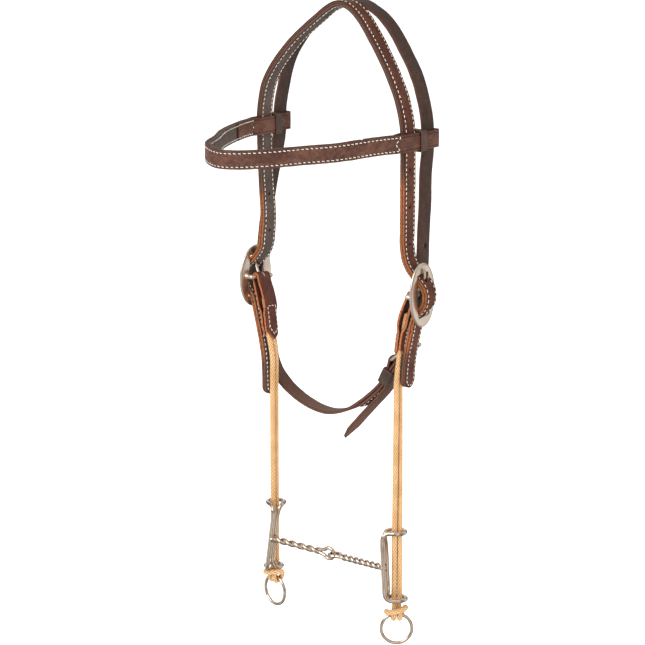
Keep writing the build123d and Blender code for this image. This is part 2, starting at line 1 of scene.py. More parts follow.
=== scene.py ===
"""A leather headstall: crown strap, browband, throatlatch, corded rein rings and a jointed
twisted-wire bit. The head faces -Y, its left side is +X, and +Z is up. The origin is close
under the top of the crown strap. Shapes are worked out in millimetres and built in metres."""
import json
import math

import bpy
import numpy as np
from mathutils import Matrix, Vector
from mathutils.kdtree import KDTree


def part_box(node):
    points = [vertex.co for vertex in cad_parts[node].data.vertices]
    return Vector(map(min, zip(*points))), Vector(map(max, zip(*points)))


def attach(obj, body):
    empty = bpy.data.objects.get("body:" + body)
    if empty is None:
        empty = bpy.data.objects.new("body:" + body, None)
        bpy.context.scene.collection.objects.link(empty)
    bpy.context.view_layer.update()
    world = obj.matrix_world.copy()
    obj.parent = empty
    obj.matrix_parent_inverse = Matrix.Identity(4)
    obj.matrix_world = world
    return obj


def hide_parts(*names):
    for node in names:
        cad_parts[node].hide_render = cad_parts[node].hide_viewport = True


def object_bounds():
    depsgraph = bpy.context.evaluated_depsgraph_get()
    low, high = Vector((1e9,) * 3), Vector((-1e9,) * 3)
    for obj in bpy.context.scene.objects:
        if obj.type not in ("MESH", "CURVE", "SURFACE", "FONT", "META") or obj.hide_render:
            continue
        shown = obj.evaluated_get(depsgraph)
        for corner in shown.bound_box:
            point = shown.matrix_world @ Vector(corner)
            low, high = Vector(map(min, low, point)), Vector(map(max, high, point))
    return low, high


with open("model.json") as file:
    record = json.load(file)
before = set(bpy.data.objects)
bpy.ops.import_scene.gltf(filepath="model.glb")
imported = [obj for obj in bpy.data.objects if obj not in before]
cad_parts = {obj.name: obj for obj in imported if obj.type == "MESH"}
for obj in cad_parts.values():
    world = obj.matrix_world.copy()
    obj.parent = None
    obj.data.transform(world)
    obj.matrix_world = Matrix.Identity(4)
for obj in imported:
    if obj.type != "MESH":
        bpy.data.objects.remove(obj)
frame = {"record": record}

cad_lo, cad_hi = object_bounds()
MM = 0.001
ORIGIN_Y, ORIGIN_Z = 10.2, 281.75     # the model's origin in the frame of the x, y, z tables
STRAP_W = 15.9
HALF_W = STRAP_W / 2
GROOVE_IN = 2.2                       # stitching groove, in from the strap's edge
STITCH_ROW = HALF_W - GROOVE_IN       # ... and out from its middle
PLY, GAP, THROAT_T = 2.7, 0.04, 2.8
PLY_STEP = PLY + GAP
PAIR_T = 2 * PLY + GAP                # two plies with the gap between them
BRAID_TURNS, BRAID_LEAD = 6.0, 0.27   # yarns around the cord, and their turns per mm along it
SIDES = {1: "left", -1: "right"}
X_AXIS, Y_AXIS, Z_AXIS = np.eye(3)
MIRROR = np.array([-1.0, 1, 1])


# ------------------------------------------------------------------ paths
def local(x, y, z):
    """A tabled point, moved to the model's origin."""
    return np.array([x, y - ORIGIN_Y, z - ORIGIN_Z], float)


def unit(v):
    v = np.asarray(v, float)
    return v / np.linalg.norm(v)


def units(rows):
    return rows / np.maximum(np.linalg.norm(rows, axis=1), 1e-9)[:, None]


def ease(x):
    return x * x * (3 - 2 * x)


def smooth(pts, step, closed=False):
    """A centripetal Catmull-Rom curve through the points."""
    pts = [np.asarray(p, float) for p in pts]
    if closed:
        pts = [pts[-1]] + pts + [pts[0], pts[1]]
    else:
        pts = [2 * pts[0] - pts[1]] + pts + [2 * pts[-1] - pts[-2]]
    out = []
    for i in range(1, len(pts) - 2):
        p0, p1, p2, p3 = pts[i - 1:i + 3]
        t0 = 0.0
        t1 = t0 + max(np.linalg.norm(p1 - p0), 1e-6) ** 0.5
        t2 = t1 + max(np.linalg.norm(p2 - p1), 1e-6) ** 0.5
        t3 = t2 + max(np.linalg.norm(p3 - p2), 1e-6) ** 0.5
        count = max(1, int(round(np.linalg.norm(p2 - p1) / step)))
        for k in range(count):
            t = t1 + (t2 - t1) * k / count
            a1 = (t1 - t) / (t1 - t0) * p0 + (t - t0) / (t1 - t0) * p1
            a2 = (t2 - t) / (t2 - t1) * p1 + (t - t1) / (t2 - t1) * p2
            a3 = (t3 - t) / (t3 - t2) * p2 + (t - t2) / (t3 - t2) * p3
            b1 = (t2 - t) / (t2 - t0) * a1 + (t - t0) / (t2 - t0) * a2
            b2 = (t3 - t) / (t3 - t1) * a2 + (t - t1) / (t3 - t1) * a3
            out.append((t2 - t) / (t2 - t1) * b1 + (t - t1) / (t2 - t1) * b2)
    if not closed:
        out.append(pts[-2])
    return np.array(out)


def arclen(path):
    return np.concatenate([[0], np.cumsum(np.linalg.norm(np.diff(path, axis=0), axis=1))])


def sample(rows, lengths, at):
    """Each column of rows, read at other lengths."""
    return np.array([np.interp(at, lengths, column) for column in rows.T]).T


def resample(path, step):
    lengths = arclen(path)
    count = max(2, int(round(lengths[-1] / step)) + 1)
    return sample(path, lengths, np.linspace(0, lengths[-1], count))


def relax(path, times):
    path = path.copy()
    for _ in range(times):
        path[1:-1] += 0.5 * ((path[:-2] + path[2:]) / 2 - path[1:-1])
    return path


def wobble(along, size, length, seed):
    """A smooth seeded wander along a length."""
    values = np.random.default_rng(seed).normal(0, 1, int(along[-1] / length) + 4)
    x = along / length
    i = np.clip(x.astype(int), 0, len(values) - 3)
    blend = ease(x - i)
    return size * (values[i] * (1 - blend) + values[i + 1] * blend)


def full_turn(count):
    return np.linspace(0, 2 * np.pi, count, endpoint=False)


def arc(centre, first, second, radius, angles):
    """Points on a circle; angles run from first toward second."""
    return centre + radius * (first * np.cos(angles)[:, None] + second * np.sin(angles)[:, None])


def rounded_rect(half_w, half_h, radius, count):
    """Even points (x, y, normal x, normal y), and their lengths with the full length last."""
    rows = []
    for sx, sy, start in ((1, 1, 0), (-1, 1, 90), (-1, -1, 180), (1, -1, 270)):
        for a in np.radians(np.linspace(start, start + 90, 7)):
            x, y = math.cos(a), math.sin(a)
            rows.append((sx * (half_w - radius) + radius * x,
                         sy * (half_h - radius) + radius * y, x, y))
    rows = np.array(rows + [rows[0]])
    lengths = arclen(rows[:, :2])
    at = np.linspace(0, lengths[-1], count, endpoint=False)
    return sample(rows, lengths, at), np.append(at, lengths[-1])


# ------------------------------------------------------------------ meshes
def mesh_object(name, verts, faces, attrs=None, material=None, smooth_shade=True):
    mesh = bpy.data.meshes.new(name)
    mesh.from_pydata([tuple(v) for v in np.asarray(verts) * MM], [], [tuple(f) for f in faces])
    for key, values in (attrs or {}).items():
        attr = mesh.attributes.new(key, "FLOAT", "POINT")
        attr.data.foreach_set("value", np.asarray(values, np.float32))
    if material:
        mesh.materials.append(material)
    if smooth_shade:
        mesh.polygons.foreach_set("use_smooth", np.ones(len(mesh.polygons), bool))
    mesh.update()
    ob = bpy.data.objects.new(name, mesh)
    bpy.context.scene.collection.objects.link(ob)
    return ob


def grid_faces(n, m, closed=False):
    """Quads over n rings of m points; closed joins the last ring to the first."""
    i, j = np.meshgrid(np.arange(n if closed else n - 1), np.arange(m), indexing="ij")
    i2, j2 = (i + 1) % n, (j + 1) % m
    return np.stack([i * m + j, i * m + j2, i2 * m + j2, i2 * m + j], -1).reshape(-1, 4)


def loft_faces(n, m):
    return [*grid_faces(n, m), range(m)[::-1], range((n - 1) * m, n * m)]


class Strap:
    """A leather strap along a path, its width along `across`.

    spot(along, aside, height) is a point on it. `toward` picks the side its normals face
    at the middle of the path; `bend(along, aside)` adds to the height.
    """

    def __init__(self, path, across, width=STRAP_W, thick=PLY, offset=0.0, toward=None, wear=0.15):
        self.path = np.asarray(path, float)
        self.along = arclen(self.path)
        tangent = units(np.gradient(self.path, self.along, axis=0))
        across = np.broadcast_to(np.asarray(across, float), self.path.shape)
        self.across = units(across - (across * tangent).sum(1)[:, None] * tangent)
        self.normal = np.cross(self.across, tangent)
        if toward is not None and np.dot(self.normal[len(path) // 2], toward) < 0:
            self.normal = -self.normal
        self.width = np.broadcast_to(width, (len(path),))
        self.thick, self.offset, self.wear, self.bend = thick, offset, wear, None

    def normals(self, along):
        return units(sample(self.normal, self.along, along))

    def spot(self, along, aside, height):
        height = self.offset + height
        if self.bend is not None:
            height = height + self.bend(along, aside)
        return (sample(self.path, self.along, along) + self.normals(along) * height[:, None]
                + units(sample(self.across, self.along, along)) * aside[:, None])

    def section(self, groove, crown, bevel=0.5):
        """Rows (aside, height, edge) once around; edge is 1 on the cut side."""
        t, B = self.thick, HALF_W
        depth = 0.2 if groove else 0.0
        left = [(-B + bevel, 0), (-B + bevel + 0.35, 0.02), (-B + 1.5, 0.03),
                (-B + GROOVE_IN, 0.03 - depth), (-B + 2.9, 0.03), (-3.6, crown * 0.8)]
        top = left + [(0.0, crown)] + [(-a, d) for a, d in left[::-1]]
        half = [(a, t / 2 + d, 0.0) for a, d in top]
        corner = [(B - bevel + bevel * math.sin(math.radians(deg)),
                   t / 2 - bevel + bevel * math.cos(math.radians(deg)), edge)
                  for deg, edge in ((30, 0.25), (60, 0.6), (85, 0.9))]
        corner.append((B + 0.04, t * 0.12, 1.0))
        half += corner + [(a, -h, edge) for a, h, edge in corner[::-1]]
        return np.array(half + [(-a, -h, edge) for a, h, edge in half])

    def mesh(self, name, material, seed, groove=True, wander=0.10, crown=0.08):
        section = self.section(groove, crown)
        m, n = len(section), len(self.path)
        aside0, height, edge = np.tile(section, (n, 1)).T
        along = np.repeat(self.along, m)

        def rough_edge(first):
            return np.repeat(wobble(self.along, wander, 9.0, first)
                             + wobble(self.along, wander * 0.5, 2.4, first + 1), m)

        aside = aside0 * np.repeat(self.width / STRAP_W, m)
        aside = (aside + np.where(aside0 > 6.5, rough_edge(seed), 0)
                 + np.where(aside0 < -6.5, rough_edge(seed + 2), 0))
        edge = edge.copy()
        edge[:m] = 1.0
        edge[-m:] = 1.0
        attrs = {"su": aside, "sv": along, "st": height / (self.thick / 2), "ed": edge,
                 "wr": np.repeat(self.wear * np.ones(n), m)}
        return mesh_object(name, self.spot(along, aside, height), loft_faces(n, m), attrs, material)

    def stitches(self, name, lines, faces=(1, -1), length=2.75, pitch=4.2, lift=0.10):
        """Thread along polylines of (along, aside), on the faces named by sign."""
        centres, ways, ups = [], [], []
        for line in lines:
            line = np.array(line, float)
            lengths = arclen(line)
            count = int(lengths[-1] / pitch)
            at = (np.arange(count) + 0.5) * (lengths[-1] / count)
            along, aside = sample(line, lengths, at).T
            along2, aside2 = sample(line, lengths, at + 0.4).T
            for face in faces:
                height = np.full(count, face * (self.thick / 2 + lift))
                centre = self.spot(along, aside, height)
                centres.append(centre)
                ways.append(self.spot(along2, aside2, height) - centre)
                ups.append(self.normals(along) * face)
        return stitch_mesh(name, np.vstack(centres), units(np.vstack(ways)), np.vstack(ups), length)


def stitch_mesh(name, centres, ways, ups, length, radius=0.39):
    """Slightly slanted stitches whose ends dip into the leather."""
    count = len(centres)
    side = units(np.cross(ways, ups))
    ups = units(np.cross(side, ways))
    rng = np.random.default_rng(count)
    tilt = np.radians(7 + rng.normal(0, 2.2, count))
    ways = ways * np.cos(tilt)[:, None] + side * np.sin(tilt)[:, None]
    side = units(np.cross(ways, ups))
    # one row per ring: place along the half length, radius factor, height in mm
    place_along, swell, dip = np.array([
        (-1.0, 0.35, -0.62), (-0.93, 0.72, -0.34), (-0.78, 0.92, -0.08), (-0.45, 1.0, 0.05),
        (0.0, 1.0, 0.08),
        (0.45, 1.0, 0.05), (0.78, 0.92, -0.08), (0.93, 0.72, -0.34), (1.0, 0.35, -0.62)]).T
    rings, m = len(swell), 8
    angles = full_turn(m)
    halves = (length + rng.normal(0, 0.12, count)) / 2
    radii = (radius * (1 + rng.normal(0, 0.05, count)))[:, None, None]
    u = place_along[None, :, None] * halves[:, None, None]
    swell = swell[None, :, None]
    rise = dip[None, :, None] + swell * radii * 0.85 * np.sin(angles)
    spread = swell * radii * np.cos(angles)
    verts = (centres[:, None, None] + ways[:, None, None] * u[..., None]
             + ups[:, None, None] * rise[..., None]
             + side[:, None, None] * spread[..., None]).reshape(-1, 3)
    size = rings * m
    faces = [*(grid_faces(rings, m)[None] + (np.arange(count) * size)[:, None, None]).reshape(-1, 4)]
    for start in range(0, count * size, size):
        faces += [range(start, start + m)[::-1], range(start + size - m, start + size)]
    shape = (count, rings, m)
    attrs = {"sv": np.broadcast_to(u, shape).ravel(),
             "sa": np.broadcast_to(angles / (2 * np.pi), shape).ravel(),
             "sk": np.repeat(rng.random(count), size)}
    return mesh_object(name, verts, faces, attrs, THREAD)


def path_frames(path, closed):
    """Rotation-minimising frames: tangent and two cross directions."""
    n = len(path)
    if closed:
        tangent = units(np.roll(path, -1, 0) - np.roll(path, 1, 0))
    else:
        tangent = units(np.gradient(path, axis=0))
    first = np.zeros_like(path)
    before = Z_AXIS if abs(tangent[0][2]) < 0.9 else Y_AXIS
    for i in range(n):
        first[i] = before = unit(before - np.dot(before, tangent[i]) * tangent[i])
    second = np.cross(tangent, first)
    if closed:
        # spread the leftover twist around the loop
        last = unit(first[-1] - np.dot(first[-1], tangent[0]) * tangent[0])
        twist = math.atan2(np.dot(last, second[0]), np.dot(last, first[0]))
        turn = -twist * np.arange(n) / n
        c, s = np.cos(turn)[:, None], np.sin(turn)[:, None]
        first, second = first * c + second * s, -first * s + second * c
    return tangent, first, second


def tube(name, path, radius, material, sides, closed=False, relief=None):
    """A round wire or cord with domed ends. relief(angle, along) adds to the radius."""
    path = np.asarray(path, float)
    n, m = len(path), sides
    tangent, first, second = path_frames(path, closed)
    radius = np.broadcast_to(np.asarray(radius, float), (n,))
    turn = full_turn(m)
    along, angle = np.meshgrid(arclen(path), turn, indexing="ij")
    radii = radius[:, None] * np.ones((1, m))
    if relief is not None:
        radii = radii + relief(angle, along)
    verts = (path[:, None] + first[:, None] * (radii * np.cos(angle))[..., None]
             + second[:, None] * (radii * np.sin(angle))[..., None]).reshape(-1, 3)
    faces = [*grid_faces(n, m, closed)]
    along, angle = along.ravel(), angle.ravel()
    for end, sign in () if closed else ((0, -1), (n - 1, 1)):
        ring = list(range(end * m, end * m + m))
        end_along = along[end * m]
        for q in (0.5, 0.85):
            start = len(verts)
            centre = path[end] + tangent[end] * sign * radius[end] * q * 0.8
            dome_r = radius[end] * math.sqrt(1 - q * q)
            verts = np.vstack([verts, arc(centre, first[end], second[end], dome_r, turn)])
            along = np.append(along, [end_along] * m)
            angle = np.append(angle, turn)
            for k in range(m):
                a, b = ring[k], ring[(k + 1) % m]
                c, d = start + (k + 1) % m, start + k
                faces.append((a, b, c, d) if sign > 0 else (b, a, d, c))
            ring = list(range(start, start + m))
        faces.append(ring[::sign])
    return mesh_object(name, verts, faces, {"sv": along, "sa": angle / (2 * np.pi)}, material)


def join(name, obs):
    for ob in bpy.context.selected_objects:
        ob.select_set(False)
    for ob in obs:
        ob.select_set(True)
    bpy.context.view_layer.objects.active = obs[0]
    bpy.ops.object.join()
    ob = bpy.context.view_layer.objects.active
    ob.name = name
    ob.data.name = name
    ob.select_set(False)
    return ob


def cut(ob, cutters):
    """Real holes, with the strap's own coordinates carried onto the new rims."""
    old = np.array([v.co for v in ob.data.vertices])
    values = {}
    for key in ("su", "sv", "st", "ed", "wr"):
        values[key] = np.zeros(len(old), np.float32)
        ob.data.attributes[key].data.foreach_get("value", values[key])
    tree = KDTree(len(old))
    for i, co in enumerate(old):
        tree.insert(co, i)
    tree.balance()
    for cutter in cutters:
        mod = ob.modifiers.new("hole", "BOOLEAN")
        mod.operation = "DIFFERENCE"
        mod.object = cutter
        mod.solver = "EXACT"
        bpy.context.view_layer.update()
        graph = bpy.context.evaluated_depsgraph_get()
        mesh = bpy.data.meshes.new_from_object(
            ob.evaluated_get(graph), preserve_all_data_layers=True, depsgraph=graph)
        ob.modifiers.clear()
        ob.data = mesh
    for cutter in cutters:
        bpy.data.objects.remove(cutter)
    mesh = ob.data
    nearest = np.array([tree.find(v.co)[1] for v in mesh.vertices])
    for key, value in values.items():
        attr = mesh.attributes.get(key) or mesh.attributes.new(key, "FLOAT", "POINT")
        if attr.domain != "POINT" or len(attr.data) != len(mesh.vertices):
            mesh.attributes.remove(attr)
            attr = mesh.attributes.new(key, "FLOAT", "POINT")
        attr.data.foreach_set("value", value[nearest])
    mesh.polygons.foreach_set("use_smooth", np.ones(len(mesh.polygons), bool))
    return ob


def prism_cutter(ring, reach):
    """A solid from ring - reach to ring + reach."""
    verts = np.vstack([ring - reach, ring + reach])
    return mesh_object("cutter", verts, loft_faces(2, len(ring)), smooth_shade=False)


def pin_cutter(centre, axis, radius, length, sides=18):
    axis = unit(axis)
    first = unit(np.cross(axis, [0.1, 0.9, 0.3]))
    ring = arc(centre, first, np.cross(axis, first), radius, full_turn(sides))
    return prism_cutter(ring, axis * length / 2)


# ------------------------------------------------------------------ materials
class Graph:
    """Short calls for building a node tree."""

    def __init__(self, tree):
        self.tree = tree
        tree.nodes.clear()

    def node(self, kind, **settings):
        node = self.tree.nodes.new("ShaderNode" + kind)
        for key, value in settings.items():
            setattr(node, key, value)
        return node

    def link(self, output, socket):
        self.tree.links.new(output, socket)

    def put(self, socket, value):
        if isinstance(value, bpy.types.NodeSocket):
            self.link(value, socket)
        else:
            socket.default_value = value

    def math(self, operation, *values):
        node = self.node("Math", operation=operation)
        for i, value in enumerate(values):
            self.put(node.inputs[i], value)
        return node.outputs[0]

    def add(self, a, b):
        return self.math("ADD", a, b)

    def sub(self, a, b):
        return self.math("SUBTRACT", a, b)

    def mul(self, a, b):
        return self.math("MULTIPLY", a, b)

    def inverse(self, value):
        return self.sub(1.0, value)

    def absolute(self, value):
        return self.math("ABSOLUTE", value)

    def ridge(self, value):
        """A triangle wave, 1 at every half."""
        centred = self.sub(self.math("FRACT", value), 0.5)
        return self.inverse(self.mul(self.absolute(centred), 2.0))

    def ramp_between(self, value, lo, hi, **settings):
        node = self.node("MapRange", **settings)
        self.put(node.inputs[0], value)
        node.inputs[1].default_value = lo
        node.inputs[2].default_value = hi
        return node

    def step(self, value, lo, hi):
        return self.ramp_between(value, lo, hi, interpolation_type="SMOOTHSTEP").outputs[0]

    def band(self, value, lo, hi, soft):
        rise = self.step(value, lo, lo + soft)
        fall = self.ramp_between(value, hi - soft, hi, interpolation_type="SMOOTHSTEP")
        fall.inputs[3].default_value = 1
        fall.inputs[4].default_value = 0
        return self.mul(rise, fall.outputs[0])

    def attr(self, name):
        return self.node("Attribute", attribute_name=name).outputs["Fac"]

    def xyz(self, *values):
        node = self.node("CombineXYZ")
        for i, value in enumerate(values):
            self.put(node.inputs[i], value)
        return node.outputs[0]

    def split(self, vector):
        node = self.node("SeparateXYZ")
        self.link(vector, node.inputs[0])
        return node.outputs

    def position(self):
        """Object coordinates in millimetres."""
        node = self.node("VectorMath", operation="SCALE")
        node.inputs[3].default_value = 1000.0
        self.link(self.node("TexCoord").outputs["Object"], node.inputs[0])
        return node.outputs[0]

    def noise(self, vector, scale, detail=4, rough=0.55, warp=0.0):
        node = self.node("TexNoise")
        for key, value in (("Vector", vector), ("Scale", scale), ("Detail", detail),
                           ("Roughness", rough), ("Distortion", warp)):
            self.put(node.inputs[key], value)
        return node.outputs["Fac"]

    def cells(self, vector, scale):
        node = self.node("TexVoronoi", feature="F1")
        self.link(vector, node.inputs["Vector"])
        node.inputs["Scale"].default_value = scale
        return node.outputs["Distance"]

    # a mask from ambient occlusion, used to paint shade into crevices
    def occlusion_shade(self, distance, lo, hi):
        node = self.node("AmbientOcclusion", samples=8)
        node.inputs["Distance"].default_value = distance
        return self.inverse(self.step(node.outputs["AO"], lo, hi))

    def mix(self, factor, a, b, mode="MIX"):
        node = self.node("Mix", data_type="RGBA", blend_type=mode)
        self.put(node.inputs[0], factor)
        for socket, value in ((node.inputs[6], a), (node.inputs[7], b)):
            self.put(socket, (*value, 1) if isinstance(value, tuple) else value)
        return node.outputs[2]

    def bump(self, height, strength, distance):
        node = self.node("Bump")
        for key, value in (("Strength", strength), ("Distance", distance), ("Height", height)):
            self.put(node.inputs[key], value)
        return node.outputs[0]


class Surface(Graph):
    """A new material with a Principled shader."""

    def __init__(self, name):
        self.material = bpy.data.materials.new(name)
        self.material.use_nodes = True
        super().__init__(self.material.node_tree)
        output = self.node("OutputMaterial")
        self.shader = self.node("BsdfPrincipled")
        self.link(self.shader.outputs[0], output.inputs[0])

    def finish(self, inputs):
        for key, value in inputs.items():
            self.put(self.shader.inputs[key], value)
        return self.material


def scaled(color, factor):
    return tuple(min(1, c * factor) for c in color)


def leather(name, dark, light, raw, burn, raw_band, rough=0.50, stitched=True, spec=0.30,
            height_shade=None):
    """raw and burn color the cut edges; raw_band is the span of st left raw; height_shade is a
    span of heights over which painted shade turns the leather from darker above to redder below."""
    g = Surface(name)
    across, along, height, edge, wear = (g.attr(key) for key in ("su", "sv", "st", "ed", "wr"))
    skin = g.xyz(g.mul(along, 0.85), across, g.mul(height, 1.3))
    patches = g.noise(skin, scale=0.035, detail=3, rough=0.6)
    mottle = g.noise(skin, scale=0.28, detail=5, rough=0.62, warp=0.4)
    fine = g.noise(skin, scale=2.6, detail=3, rough=0.6)
    pores = g.cells(skin, scale=1.15)
    tone = g.add(g.mul(patches, 0.5), g.mul(mottle, 0.5))
    color = g.mix(g.step(tone, lo=0.36, hi=0.66), dark, light)
    color = g.mix(g.mul(g.step(fine, lo=0.45, hi=0.75), 0.22), color, scaled(light, 1.9))
    color = g.mix(g.mul(g.step(pores, lo=0.62, hi=0.95), 0.35), color, scaled(dark, 0.45))
    # painted shade by height: darker and greyer above the span, redder below it
    if height_shade:
        z = g.split(g.position())[2]
        color = g.mix(g.step(z, *height_shade), g.mix(0.5, color, (0.175, 0.080, 0.050)),
                      g.mix(1.0, color, (0.60, 0.62, 0.64), "MULTIPLY"))
    # scuffs, mostly near the edges
    out = g.absolute(across)
    streaks = g.noise(g.xyz(g.mul(along, 0.35), g.mul(across, 1.6), height),
                      scale=0.9, detail=6, rough=0.72)
    scuffs = g.mul(g.step(streaks, lo=0.60, hi=0.74), g.step(out, lo=3.0, hi=7.6))
    color = g.mix(g.mul(scuffs, 0.30), color, scaled(light, 2.6))
    if stitched:
        # shaded groove under the stitches
        off_row = g.absolute(g.sub(out, STITCH_ROW))
        groove = g.inverse(g.step(off_row, lo=0.25, hi=1.05))
        color = g.mix(g.mul(groove, 0.55), color, scaled(dark, 0.35))
    # cut edges: burnished corners, and a raw middle that spreads where worn
    ragged = g.add(edge, g.mul(g.sub(mottle, 0.5), 0.35))
    worn = g.step(wear, lo=0.25, hi=0.8)
    ragged_height = g.add(height, g.mul(g.sub(mottle, 0.5), 0.9))
    raw_strip = g.mul(g.step(ragged, lo=0.62, hi=0.86), g.band(ragged_height, *raw_band, soft=0.22))
    raw_strip = g.mul(raw_strip, 0.62)
    chips = g.noise(skin, scale=0.62, detail=5, rough=0.70)
    raw_all = g.mul(g.step(ragged, lo=0.50, hi=0.80), g.step(chips, lo=0.36, hi=0.50))
    pick = g.node("Mix", data_type="FLOAT")
    for i, value in ((0, worn), (2, raw_strip), (3, raw_all)):
        g.link(value, pick.inputs[i])
    raw_mask = pick.outputs[0]
    color = g.mix(g.step(ragged, lo=0.12, hi=0.5), color, burn)
    fibres = g.noise(g.xyz(g.mul(along, 2.2), g.mul(across, 2.2), g.mul(height, 3.2)),
                     scale=0.9, detail=5, rough=0.7)
    raw_color = g.mix(g.step(fibres, lo=0.34, hi=0.66), scaled(raw, 0.30), scaled(raw, 1.12))
    stained = tuple(0.45 * c + 0.55 * b for c, b in zip(raw, burn))
    raw_color = g.mix(g.step(g.noise(skin, scale=0.06, detail=2), lo=0.40, hi=0.60),
                      g.mix(0.5, raw_color, stained), raw_color)
    raw_color = g.mix(worn, (0.155, 0.062, 0.034), raw_color)
    creases = g.noise(g.xyz(g.mul(along, 1.0), g.mul(across, 0.25), height),
                      scale=0.55, detail=4, rough=0.6, warp=0.6)
    relief = g.add(g.mul(pores, -0.55), g.mul(fine, 0.35))
    relief = g.add(relief, g.mul(creases, 0.9))
    relief = g.add(relief, g.mul(g.mul(fibres, g.step(ragged, lo=0.5, hi=0.8)), 1.3))
    dull = g.add(g.mul(mottle, 0.22), rough - 0.11)
    return g.finish({
        "Base Color": g.mix(raw_mask, color, raw_color),
        "Roughness": g.add(dull, g.mul(raw_mask, 0.30)),
        "Specular IOR Level": spec,
        "Coat Weight": 0.05,
        "Coat Roughness": 0.38,
        "Normal": g.bump(relief, strength=0.55, distance=0.00011)})


def metal(name, color, rough, brushed=0.0, painted_crevice_shade=0.0, relief=0.20):
    g = Surface(name)
    position = g.position()
    patches = g.noise(position, scale=0.06, detail=3)
    blotches = g.noise(position, scale=0.5, detail=4, rough=0.6)
    stretch = g.node("Mapping")
    g.link(position, stretch.inputs["Vector"])
    stretch.inputs["Scale"].default_value = (6.0, 6.0, 0.22)
    scratches = g.noise(stretch.outputs[0], scale=1.0, detail=5, rough=0.7)
    tone = g.mix(g.step(patches, lo=0.35, hi=0.68), scaled(color, 0.88), color)
    tarnish = (color[0] * 0.72, color[1] * 0.64, color[2] * 0.55)
    tone = g.mix(g.mul(g.step(blotches, lo=0.58, hi=0.78), 0.35), tone, tarnish)
    # painted shade: darker brown where ambient occlusion finds crevices, as between the twisted
    # strands
    if painted_crevice_shade:
        shade = g.occlusion_shade(distance=0.0026, lo=0.20, hi=0.80)
        tone = g.mix(g.mul(shade, painted_crevice_shade), tone, (0.060, 0.040, 0.028))
    dull = g.add(g.mul(scratches, 0.16 + brushed * 0.25), rough - 0.07)
    height = g.add(g.mul(scratches, 0.6 + brushed), g.mul(blotches, 0.5))
    return g.finish({
        "Base Color": tone,
        "Metallic": 1.0,
        "Roughness": g.add(dull, g.mul(g.step(blotches, lo=0.55, hi=0.8), 0.12)),
        "Normal": g.bump(height, strength=relief + brushed * 0.25, distance=0.00006)})


def braided_nylon():
    """Two counter-running sets of yarns, over and under."""
    g = Surface("braided_nylon")
    along, around = g.attr("sv"), g.attr("sa")
    turn, lead = g.mul(around, BRAID_TURNS), g.mul(along, BRAID_LEAD)
    a, b = g.add(turn, lead), g.sub(turn, lead)
    cell = g.add(g.math("FLOOR", a), g.math("FLOOR", b))
    over = g.step(g.math("MODULO", g.add(cell, 1000.0), 2.0), lo=0.4, hi=0.6)
    ridge_a, ridge_b = (g.math("POWER", g.ridge(v), 0.9) for v in (a, b))
    height = g.add(g.mul(ridge_a, over), g.mul(ridge_b, g.inverse(over)))
    yarn = g.noise(g.xyz(g.mul(a, 5.0), g.mul(b, 5.0), 0.0), scale=1.0, detail=3)
    patches = g.noise(g.position(), scale=0.05, detail=3)
    color = g.mix(g.step(patches, lo=0.35, hi=0.65), (0.66, 0.375, 0.150), (0.78, 0.475, 0.215))
    # painted shade: dark brown in the valleys between the yarns
    painted_valley_shade = g.inverse(g.step(height, lo=0.02, hi=0.62))
    color = g.mix(g.mul(painted_valley_shade, 0.95), color, (0.17, 0.062, 0.018))
    color = g.mix(g.mul(g.step(yarn, lo=0.5, hi=0.8), 0.35), color, (0.86, 0.58, 0.32))
    # painted shade: darker brown where ambient occlusion finds crevices, between the strands and
    # against other parts
    shade = g.occlusion_shade(distance=0.0035, lo=0.18, hi=0.72)
    color = g.mix(g.mul(shade, 0.85), color, (0.20, 0.075, 0.022))
    return g.finish({
        "Base Color": color,
        "Roughness": 0.62,
        "Sheen Weight": 0.35,
        "Sheen Roughness": 0.4,
        "Subsurface Weight": 0.05,
        "Subsurface Radius": (0.002, 0.0012, 0.0006),
        "Normal": g.bump(g.add(height, g.mul(yarn, 0.25)), strength=0.9, distance=0.00028)})


def waxed_thread():
    g = Surface("waxed_thread")
    along, around, shade = g.attr("sv"), g.attr("sa"), g.attr("sk")
    ridge = g.ridge(g.add(g.mul(along, 1.5), g.mul(around, 2.0)))
    color = g.mix(shade, (0.70, 0.62, 0.50), (0.90, 0.86, 0.78))
    # painted shade in the grooves of the twist
    color = g.mix(g.inverse(g.step(ridge, lo=0.05, hi=0.5)), color, (0.42, 0.33, 0.25))
    return g.finish({
        "Base Color": color,
        "Roughness": 0.55,
        "Normal": g.bump(ridge, strength=0.8, distance=0.00012)})


RAW = (0.43, 0.135, 0.040)
OUTER = leather(
    "leather_face", dark=(0.046, 0.0150, 0.0090), light=(0.108, 0.0365, 0.0205),
    raw=RAW, burn=(0.036, 0.015, 0.010), raw_band=(-1.4, 0.15), spec=0.13)
LINING = leather(
    "leather_lining", dark=(0.048, 0.029, 0.022), light=(0.088, 0.055, 0.042),
    raw=RAW, burn=(0.036, 0.018, 0.012), raw_band=(-0.15, 1.4), rough=0.54, spec=0.42)
